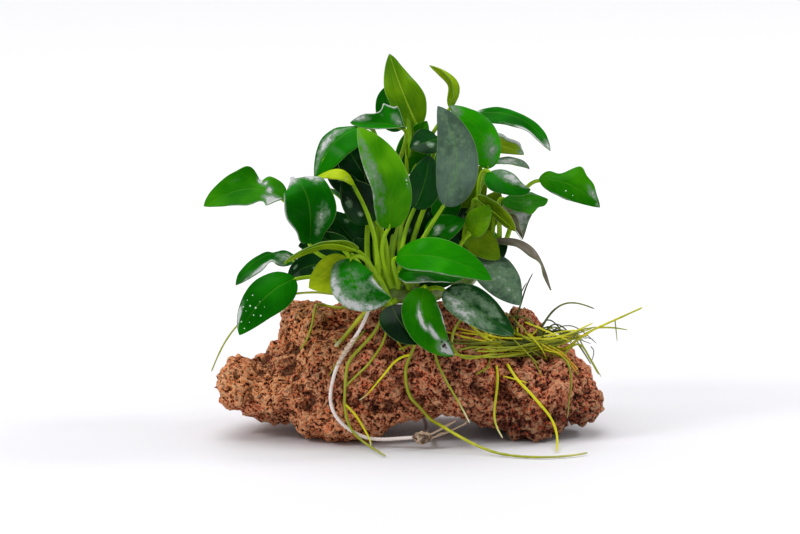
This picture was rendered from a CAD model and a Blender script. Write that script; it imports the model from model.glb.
"""Anubias on stone: the looks of a small broad-leaved water plant tied to red lava rock.

Points are given in the front view, in millimetres: across to the right, up, and away from
the viewer. place() turns such a point upright and into metres. Leaves, roots and the tie
follow the same tables as the solids they stand for.
"""

import math
import random
from typing import NamedTuple

import bmesh
import bpy
import numpy
from mathutils import Matrix, Vector, geometry, noise
from mathutils.bvhtree import BVHTree


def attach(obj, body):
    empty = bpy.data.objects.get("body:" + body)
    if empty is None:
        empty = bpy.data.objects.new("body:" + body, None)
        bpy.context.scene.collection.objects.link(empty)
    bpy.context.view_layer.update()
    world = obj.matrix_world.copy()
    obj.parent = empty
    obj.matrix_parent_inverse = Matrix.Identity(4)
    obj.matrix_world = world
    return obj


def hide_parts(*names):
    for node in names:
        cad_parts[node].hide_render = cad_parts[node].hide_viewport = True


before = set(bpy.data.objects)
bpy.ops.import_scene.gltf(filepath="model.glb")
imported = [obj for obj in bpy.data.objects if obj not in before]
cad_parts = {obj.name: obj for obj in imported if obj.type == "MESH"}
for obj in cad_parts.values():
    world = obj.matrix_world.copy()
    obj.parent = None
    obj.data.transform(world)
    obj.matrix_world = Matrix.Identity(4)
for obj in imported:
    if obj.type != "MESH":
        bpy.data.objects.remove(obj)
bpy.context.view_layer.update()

bl_info = {
    "name": "Anubias on stone",
    "version": (1, 0, 0),
    "blender": (4, 5, 0),
    "location": "3D View > Sidebar > Anubias",
    "description": "Dresses an anubias plant on lava rock: stone, leaves, roots and tie",
    "category": "Object",
}

MM = 0.001
BODY = "root"

# Frame of the model
VIEW_TILT = math.radians(10)
CENTRE_ACROSS = 0.25
CENTRE_AWAY = 6.2
GAP = 0.35 * MM

# Stone: how often the surface is smoothed, and how far from it counts as fully raised or sunk
FINE_RELIEF = (10, 0.4 * MM)
BROAD_RELIEF = (120, 1.6 * MM)

# Leaves
BLADE_ROWS = 44
BLADE_COLUMNS = 14
BLADE_FULLNESS = (0.5, 0.8)
PETIOLE_PULL = 0.38
RHIZOME_RADIUS = 4.3 * MM
BUD_OUT = RHIZOME_RADIUS * 0.9
KEEL_START = 0.11
# How deep the stalk and keel's points lie under the blade, in radii of the petiole
KEEL_SINKS = (0.65, 0.65, 0.95, 0.95, 0.95, 0.4, 0.4)

# How strands are laid over the solids
CURVE_STEPS = 12
VIEW_REACH = 200
STRAND_DEPTH = 15
THICKEST = 20 * MM
SOUNDING = Vector((0.11, -0.07, 1)).normalized()
JOIN_REACH = 4 * MM
SETTLE_ROUNDS = 70
PUSH_ROUNDS = 25
TAUTNESS = 0.6
SIDE_TAUTNESS = 0.15
MOST_PUSH = 1.5 * MM
PUSH_MARGIN = 0.02 * MM
PUSH_GAP = 0.3 * GAP
PUSH_SHARES = (0.0, 0.25, 0.5, 0.75)
SMOOTH_ROUNDS = 6
SMOOTH_RADIUS = 0.6

# Roots
ROOT_STEP = 0.9 * MM
PALE_END = 0.2
FINE_ROOT_STEP = 1.1 * MM
FINE_ROOT_SEED = 11
FINE_KNOT_SEED = 40
BUNDLE_TONES = (0.2, 0.35, 0.5, 0.6, 0.7, 0.8, 1.0)
CROSSING_TONES = (0.2, 0.4, 0.55, 0.7, 0.8, 1.0)
CURL_TONES = (0.05, 0.15, 0.3, 0.45)
STONE_EDGE = 46
EDGE_AWAY = -13.5

# Tie: shares of the cord's radius and length, and how the knot and the ends are frayed
PLY_POINTS = 8
PLY_OFFSET = 0.42
PLY_RADIUS = 0.62
WRAPPED = (0.225, 0.28)
WRAP_STEP = 0.35 * MM
WRAP_TURN = 0.55
KNOT_SEED = 5
LOOP_POINTS = 18
LOOP_STEP = 0.7 * MM
FRAY_SEED = 3
FRAY_FIBRES = 3
FRAY_RADIUS = 0.26 * MM

# Stage: where the camera looks, and each lamp's place and size in metres
VIEW_CENTRE = (-8.8, 65.6, 0)
LEFT_BOX = ((-1.2, -0.5, 1.1), (0.35, 0.5))
RIGHT_BOX = ((1.1, 0.3, 1.0), (0.35, 0.35))
SUN_DIRECTION = Vector((0.15, -0.25, -1))
SENSOR_WIDTH = 36


class Leaf(NamedTuple):
    """Midrib points, blade width, which way the upper face looks, and the bud it grows from.

    The fold is how far the sides rise, as a share of half the width. The wave is added to the
    margin's ripple, and the bow shifts the middle of the petiole.
    """

    base: tuple
    middle: tuple
    tip: tuple
    width: float
    facing: tuple
    bud: tuple
    fold: float = 0.1
    wave: float = 0.0
    bow: tuple = (0, 0, 0)


# A bud is a rhizome's name, the distance along it, and the angle round it: 0 up, 90 to the front
LEAVES = {
    "leaf_top": Leaf((-1.5, 121, 4), (-8, 136, 0), (-13, 150.5, -4), 13.5, (-0.3, 0.4, 1),
                     ("main", 12, -20), fold=0.3),
    "leaf_top_rear": Leaf((-7.5, 121.5, 14), (-13.5, 130, 14), (-13.5, 138.5, 12), 12, (-0.5, 0.2, -1),
                          ("main", 12.5, -60)),
    "leaf_young_roll": Leaf((11, 129.5, 0), (13.5, 139.5, -2), (3, 146, -4), 5, (-1, 0, -0.5),
                            ("main", 21, -45), fold=1.3),
    "leaf_crest": Leaf((-7.5, 121, -12), (-17, 122.5, -17), (-28.5, 123, -16), 12, (0.1, 0.8, -1),
                       ("main", 10.5, -35), fold=0.3, bow=(-10, 0, -4)),
    "leaf_front": Leaf((-13, 81, -32), (-14.5, 100.5, -40), (-25.5, 120.5, -32), 17, (0.3, 0.1, -1),
                       ("main", 10, 35), fold=0.25, bow=(-4, 0, 0)),
    "leaf_left_round": Leaf((-24, 121, -18), (-35.5, 114, -24), (-42.5, 100, -20), 17, (-0.5, 0.6, -1),
                            ("main", 4, -15), fold=-0.3, bow=(-4, 0, 4)),
    "leaf_shade_left": Leaf((-20, 98, -6), (-27, 108.5, -8), (-31.5, 118, -6), 15, (-0.2, 0.2, -1),
                            ("main", 4, -55)),
    "leaf_curled_yellow": Leaf((-27, 98, -26), (-33, 104, -29), (-44.5, 99, -27), 11, (0, 1, -0.35),
                               ("main", 3.5, 30), fold=-0.5, bow=(4, 0, 0)),
    "leaf_big_left": Leaf((-44.5, 75, -30), (-45, 92.5, -38), (-52, 101, -27), 21, (0.1, 0.2, -1),
                          ("main", 1.5, 25), fold=0.25, bow=(4, 0, 0)),
    "leaf_far_left": Leaf((-55, 92.5, -10), (-69.5, 96.5, -8), (-87, 90, -8), 17.5, (0.2, 0.6, -0.8),
                          ("main", 0.5, -30)),
    "leaf_low_arch": Leaf((-50.5, 67.5, -20), (-62.5, 70, -18), (-74, 58.5, -20), 14, (-0.2, 1, -0.6),
                          ("main", 0, 0), fold=-0.3, bow=(-4, 0, 0)),
    "leaf_edge_arch": Leaf((-25.5, 72.5, -38), (-39, 75, -44), (-54, 67, -46), 13, (0, 1, 0.3),
                           ("main", 4.5, 60), fold=-0.2, bow=(0, 0, 4)),
    "leaf_droplet": Leaf((-50, 61, -36), (-62.5, 53, -44), (-71.5, 39, -46), 17, (-0.2, 0.35, -1),
                         ("main", 0, 60), fold=-0.1, bow=(6, 0, 4)),
    "leaf_bright": Leaf((-27, 66, -36), (-36, 62, -40), (-44.5, 57.5, -42), 16, (0.1, 0.3, -1),
                        ("main", 1, 105), bow=(-8, 0, 0)),
    "leaf_sheen": Leaf((-28, 69, -42), (-26, 58, -49), (-12.5, 53.5, -47), 19, (0, 0.45, -1),
                       ("main", 7, 140), fold=-0.15, bow=(4, 0, 0)),
    "leaf_bright_front": Leaf((-10, 69.5, -34), (8.5, 69, -44), (27, 60.5, -42), 16, (0, 0.55, -1),
                              ("main", 11.5, 45)),
    "leaf_spotted": Leaf((1, 57, -38), (1, 44, -46), (12.5, 31, -42), 16, (0.1, 0.5, -1),
                         ("main", 16, 95), fold=-0.2, wave=0.6),
    "leaf_dark_low": Leaf((9, 56.5, -34), (21, 49, -38), (36, 39, -36), 17, (0.1, 0.6, -1),
                          ("main", 21, 85), fold=0.15),
    "leaf_wavy": Leaf((-9, 63.5, -28), (3, 63, -34), (16, 61, -34), 13, (0, 0.8, -1),
                      ("main", 15.5, 60), wave=1.2),
    "leaf_grey_right": Leaf((22.5, 70, -16), (31, 61.5, -22), (39, 50.5, -22), 17, (0.3, 0.3, -1),
                            ("right", 12, 100), fold=-0.1),
    "leaf_far_right": Leaf((47, 100.5, 0), (59, 98.5, -2), (71, 89.5, -4), 13, (0.1, 0.5, -1),
                           ("right", 24, 170), fold=-0.1, wave=0.7),
    "leaf_sheen_right": Leaf((27, 103.5, -14), (35, 98, -18), (43, 96.5, -16), 13, (0.2, 0.9, -0.9),
                             ("right", 23.5, 30)),
    "leaf_right_mid": Leaf((33, 93, -10), (41.5, 91, -13), (50, 92.5, -12), 13, (0.2, 0.8, -0.8),
                           ("right", 24, 105), wave=0.5, bow=(0, 0, -4)),
    "leaf_arch_right": Leaf((20, 127, 6), (38, 125.5, 4), (51.5, 112.5, 0), 14, (0.1, 1, -0.65),
                            ("right", 15, -40), fold=-0.3),
    "leaf_right_upper": Leaf((23, 116.5, 12), (32.5, 114.5, 10), (41, 111, 8), 13, (0.2, 0.9, -0.7),
                             ("right", 19, -60)),
    "leaf_edge_right": Leaf((29, 108, 2), (37, 107.5, 1), (43, 105, 0), 12, (0, 1, -0.25),
                            ("right", 23, -25)),
    "leaf_big_sheen": Leaf((8.5, 90, -30), (13.5, 108.5, -36), (6, 129, -30), 17, (-0.15, 0, -1),
                           ("main", 16, 25), fold=-0.15),
    "leaf_beside_sheen": Leaf((26, 104.5, -10), (24, 117.5, -14), (11, 129.5, -14), 16, (0.5, 0.2, -1),
                              ("right", 17, 0), fold=-0.2),
    "leaf_small_glossy": Leaf((6.5, 117, -4), (1, 115, -8), (-5, 113, -10), 13, (0, 0.6, -1),
                              ("main", 19, -20)),
    "leaf_shade_mid": Leaf((-3, 89, -18), (1, 99.5, -20), (2.5, 110, -16), 14, (0, 0.1, -1),
                           ("main", 13, 20)),
    "leaf_young_top": Leaf((-5.5, 109, -2), (-5.5, 117, -3), (-5.5, 125, -4), 4, (1, 0, -0.3),
                           ("main", 15.5, -15), fold=1.2, bow=(0, 0, -4)),
    "leaf_behind_front": Leaf((-18.5, 84, -18), (-25, 92.5, -21), (-30.5, 100, -20), 16,
                              (-0.2, 0.2, -1), ("main", 10.5, 0)),
    "leaf_sheen_mid": Leaf((1, 76, -20), (8.5, 80.5, -24), (17, 84, -24), 13, (0, 0.6, -1),
                           ("main", 20, 35)),
    "leaf_pale_under": Leaf((22.5, 92.5, -16), (29, 87.5, -20), (37, 80, -20), 14, (0.2, 1, 0.5),
                            ("right", 19.5, 35)),
    "leaf_stripe": Leaf((19, 79, -22), (22.5, 84.5, -25), (26.5, 90, -24), 11, (-0.5, 0.2, -1),
                        ("right", 9, 45), bow=(-4, 0, 0)),
    "leaf_inner_right": Leaf((19, 79, -14), (24.5, 74, -18), (31, 69, -18), 13, (0.2, 0.4, -1),
                             ("right", 14, 60)),
    "leaf_droop": Leaf((27, 76.5, -10), (43, 74, -14), (51, 56.5, -16), 9, (0.6, 1, -0.1),
                       ("right", 18.5, 120), fold=-0.7),
    "leaf_curled_brown": Leaf((31, 91, -4), (35.5, 83.5, -7), (40, 76.5, -8), 11, (1, 0.3, -0.6),
                              ("right", 23, 70), fold=0.6),
    "leaf_low_dark": Leaf((-12, 50.5, -36), (-8, 43, -42), (-1, 35.5, -44), 15, (0, 0.2, -1),
                          ("main", 10, 120)),
    "leaf_back_left": Leaf((-28, 88, 12), (-38, 97, 22), (-44, 92, 34), 17, (-0.3, 1, 0.7),
                           ("back", 16.5, 30), fold=-0.1),
    "leaf_back_middle": Leaf((-10, 100, 20), (-14, 108, 32), (-14, 100, 44), 17, (0, 1, 0.7),
                             ("back", 14, 0), fold=-0.1),
    "leaf_back_right": Leaf((18, 92, 18), (22, 102, 30), (22, 96, 42), 17, (0.2, 1, 0.7),
                            ("back", 10, -30), fold=-0.1),
    "leaf_back_low_left": Leaf((-16, 76, 14), (-26, 82, 22), (-36, 77, 32), 17, (-0.3, 0.8, 0.7),
                               ("back", 22, 50), fold=-0.1),
    "leaf_back_low": Leaf((0, 78, 28), (4, 84, 40), (6, 74, 52), 17, (0, 0.8, 1),
                          ("back", 24, -10), fold=-0.1),
    "leaf_back_low_right": Leaf((16, 74, 24), (24, 78, 36), (30, 68, 47), 16, (0.3, 0.8, 1),
                                ("back", 18, -60), fold=-0.1),
}

RHIZOMES = {
    "main": ((-22, 52.5, -27), (-12, 54.5, -25), (-2, 55.5, -20), (8, 55.5, -14)),
    "right": ((12.5, 56, -12), (17, 60, -9), (22, 68, -5), (26, 78, -1)),
    "back": ((1, 57.5, -6), (1, 58, 4), (-3, 58.5, 15), (-8, 57.5, 25)),
}


class Strand(NamedTuple):
    """A root's or the tie's run: points without a depth lie on whatever the view meets there."""

    points: tuple
    radius: float
    thin_end: float = 0.55


# A fused group of roots is one tuple of strands
ROOTS = {
    "root_mat": (
        Strand(((14, 52, -16), (17, 45), (23, 36), (31, 33), (39, 34.5), (49, 36), (57, 36.5),
                (63, 39, -14), (70, 41.5, -14), (77.5, 45, -14), (87.5, 49.5, -14)), 0.7),
        Strand(((17, 45), (11, 38), (13, 29), (18, 27), (24, 29), (31, 33)), 0.6, 0.9),
        Strand(((23, 36), (29, 40), (37, 40), (45, 39), (55, 36), (61, 33.5)), 0.6),
        Strand(((24, 29), (33, 29.5), (41, 32.5), (49, 36)), 0.6, 0.9),
        Strand(((57, 36.5), (63, 39, -14), (65, 32, -16), (67, 27, -16), (70, 23, -16)), 0.45),
        Strand(((45, 39), (48, 44, -12), (52, 49, -12), (55.5, 53, -12), (62.5, 52, -12),
                (68.5, 49, -12)), 0.45),
        Strand(((37, 40), (38, 47), (38.5, 52), (41, 60, -10), (44, 63, -10)), 0.45),
    ),
    "root_far_left": (
        Strand(((-26, 53, -31), (-40, 56, -35), (-55, 54.5, -37), (-66, 49, -36),
                (-73.5, 42.5, -36), (-79, 34.5, -34), (-83, 24.5, -32)), 0.5),
    ),
    "root_left": (
        Strand(((-26, 51.5, -27), (-31, 53), (-36, 53), (-41, 50.5), (-43, 46),
                (-43.5, 40), (-45.5, 35.5), (-47.5, 33)), 0.6),
    ),
    "root_short": (
        Strand(((-22, 48.5, -31), (-25, 44), (-29, 38.5), (-33, 33), (-34.5, 33.5)), 0.9, 0.8),
    ),
    "roots_left": (
        Strand(((-15, 49.5, -31), (-16.5, 42), (-20.5, 38), (-26.5, 31), (-29, 26), (-31, 19.5),
                (-31, 11.5), (-30, 5), (-25.5, -1), (-20.5, -5), (-14.5, -8)), 0.65),
        Strand(((-15, 49, -31), (-14.5, 39), (-17, 32), (-20.5, 27), (-26.5, 23.5), (-31, 19.5)),
               0.5, 0.9),
        Strand(((-31, 11.5), (-28.5, 11), (-24.5, 7), (-20.5, -0.5), (-17.5, -5.5)), 0.5),
    ),
    "roots_middle": (
        Strand(((-3, 49.5, -30), (-2.5, 42), (-0.5, 35), (-4, 30.5), (-8.5, 27.5), (-5.5, 18.5),
                (-2, 12), (2.5, 7), (8, 3, -39), (14.5, -1, -40), (21, -4.5, -40),
                (31.5, -7.8), (41.5, -8.5), (54.5, -8.5), (64.5, -7)), 0.7),
        Strand(((-4, 30.5), (-7, 32.5), (-16.5, 24), (-22.5, 16.5), (-25, 13.5)), 0.5),
    ),
    "root_pale_tip": (
        Strand(((4, 50, -25), (4, 42), (3.5, 33), (6, 26.5), (10, 19),
                (14.5, 12.5, -37), (18.5, 4.5, -40)), 0.55),
    ),
    "root_upright": (
        Strand(((28.5, 27), (29, 23), (28.5, 13), (27.5, 3, -36), (31.5, -1.5, -37)), 0.55),
    ),
    "root_bent": (
        Strand(((33.5, 27), (37, 21), (43, 14), (48, 11), (50.5, 7.5), (52.5, 3), (53.5, -3),
                (52.5, -6.5)), 0.6),
    ),
    "root_olive": (
        Strand(((52, 31), (56, 27), (57.5, 23), (57, 19), (56.5, 10.5), (56.5, 7)), 0.45),
    ),
}
TIE = Strand((
    (-2, -1.3, -34.5), (-12.5, -2, -34), (-20.5, -2), (-26.5, -0.5), (-30, 1.5), (-35, 5.7),
    (-39, 9.3), (-39.3, 12.1), (-35, 21.2), (-30.4, 30.1), (-26.5, 36.5), (-22, 43.6, -33),
    (-17.8, 51.4, -32), (-17, 55, -32), (-16.5, 59, -29), (-16, 60.5, -24), (-15.5, 59, -18),
    (-16, 53.5, -8), (-17, 51.5, 4), (-16, 52.5, 14), (-15, 51, 24), (-13.5, 44.5, 32),
    (-11, 35, 34), (-8.5, 26, 32), (-4.5, 15, 27), (1, 5, 16), (2, 0.7, -5), (1, -1.8, -33),
), 0.75, 1)
# The knot's centre and its reach across, up and away
TIE_KNOT = ((0, -1.5, -35), (5.2, 3.2, 3.0))
TIE_STRANDS = (
    Strand(((2, -0.5, -35), (7, 2.5, -33), (13, 5, -28)), 0.6),
    Strand(((3, -2, -34), (9, 0, -32), (18, 4, -26)), 0.6),
)


# Leaves of the thick middle that only the looks need
INNER_LEAVES = {
    "inner_a": Leaf((-20, 84, -12), (-26, 92, -14), (-30, 103, -12), 13, (-0.3, 0.2, -1),
                    ("main", 6, 10)),
    "inner_b": Leaf((-34, 78, -14), (-42, 84, -17), (-51, 83, -18), 13, (-0.2, 0.7, -0.8),
                    ("main", 2.5, 0)),
    "inner_c": Leaf((-12, 92, -8), (-17, 101, -10), (-19, 112, -8), 12, (-0.1, 0.1, -1),
                    ("main", 9, -20)),
    "inner_d": Leaf((6, 84, -10), (10, 93, -13), (8, 104, -12), 12, (0.2, 0, -1),
                    ("main", 18, 0)),
    "inner_e": Leaf((14, 86, -6), (20, 95, -8), (23, 106, -8), 12, (0.3, 0.1, -1),
                    ("right", 12, 20)),
    "inner_f": Leaf((-36, 66, -22), (-45, 66, -25), (-53, 60, -28), 11, (-0.1, 0.5, -1),
                    ("main", 1, 70)),
    "inner_g": Leaf((-21, 70, -9), (-29, 78, -10), (-37, 88, -8), 15, (-0.2, 0.1, -1),
                    ("main", 4, -10), fold=-0.2),
    "inner_h": Leaf((-28, 67, -16), (-38, 73, -16), (-49, 74, -17), 14, (-0.1, 0.2, -1),
                    ("main", 3, 20), fold=0.3),
    "inner_i": Leaf((-6, 71, -6), (-2, 83, -8), (3, 95, -6), 15, (0.1, 0, -1),
                    ("main", 15, -10), fold=-0.2),
    "inner_j": Leaf((8, 69, -6), (12, 81, -8), (17, 93, -6), 15, (0.2, 0.1, -1),
                    ("main", 22, -30), fold=0.2),
    "inner_k": Leaf((15, 65, -9), (24, 69, -11), (34, 76, -10), 14, (0.1, 0.1, -1),
                    ("right", 8, 60), fold=0.2),
    "inner_l": Leaf((18, 80, -4), (25, 87, -6), (31, 96, -6), 13, (0.3, 0.2, -1),
                    ("right", 16, 10), fold=0.3),
    "inner_m": Leaf((-5, 60, -20), (5, 62, -23), (17, 63, -22), 12, (0, 0.2, -1),
                    ("main", 17, 40), fold=0.2),
    "inner_n": Leaf((8, 100, 0), (15, 111, -2), (20, 122, 0), 14, (0.2, 0.1, -1),
                    ("right", 10, -20)),
    "inner_o": Leaf((-6, 103, 2), (-3, 114, 0), (2, 124, 0), 13, (0, 0.1, -1),
                    ("main", 14, -30), fold=0.3),
    "inner_p": Leaf((-28, 95, -2), (-33, 106, -4), (-37, 116, -2), 13, (-0.3, 0.1, -1),
                    ("main", 5, -40)),
    "inner_q": Leaf((-17, 61, -14), (-21, 69, -15), (-27, 77, -14), 12, (0, 0.1, -1),
                    ("main", 6, 20), fold=0.4),
    "inner_s": Leaf((-13, 61, -6), (-13, 72, -8), (-10, 84, -6), 16, (0, 0.1, -1),
                    ("main", 11, -10), fold=-0.3),
    "inner_t": Leaf((-22, 100, 14), (-30, 110, 20), (-37, 108, 30), 15, (-0.2, 1, 0.8),
                    ("back", 8, 20), fold=-0.1),
    "inner_u": Leaf((4, 108, 14), (8, 118, 22), (10, 114, 34), 15, (0.1, 1, 0.8),
                    ("back", 6, -10), fold=-0.1),
    "inner_v": Leaf((22, 84, 12), (30, 90, 20), (33, 84, 32), 15, (0.4, 1, 0.6),
                    ("back", 5, -50), fold=-0.1),
    "inner_w": Leaf((-30, 74, 8), (-38, 80, 16), (-42, 72, 28), 15, (-0.4, 1, 0.6),
                    ("back", 10, 50), fold=-0.1),
    "inner_x": Leaf((2, 88, 22), (4, 95, 32), (3, 90, 43), 15, (0, 1, 0.7),
                    ("back", 12, 5), fold=-0.1),
    "inner_r": Leaf((4, 62, -10), (9, 70, -12), (13, 79, -10), 13, (0, 0.1, -1),
                    ("main", 20, 10), fold=0.3),
}


class Dress(NamedTuple):
    """How one blade differs from the common one.

    Pale patches are (place along, place across, reach along, reach across, strength), dents
    and curls (place along, side, amount, reach): along runs from 0 at the base to 1 at the tip,
    across from -1 to 1. A dent's amount is a share of the width, a curl's is in millimetres.
    """

    look: str = "deep"
    patches: tuple = ()
    dents: tuple = ()
    curls: tuple = ()


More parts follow.
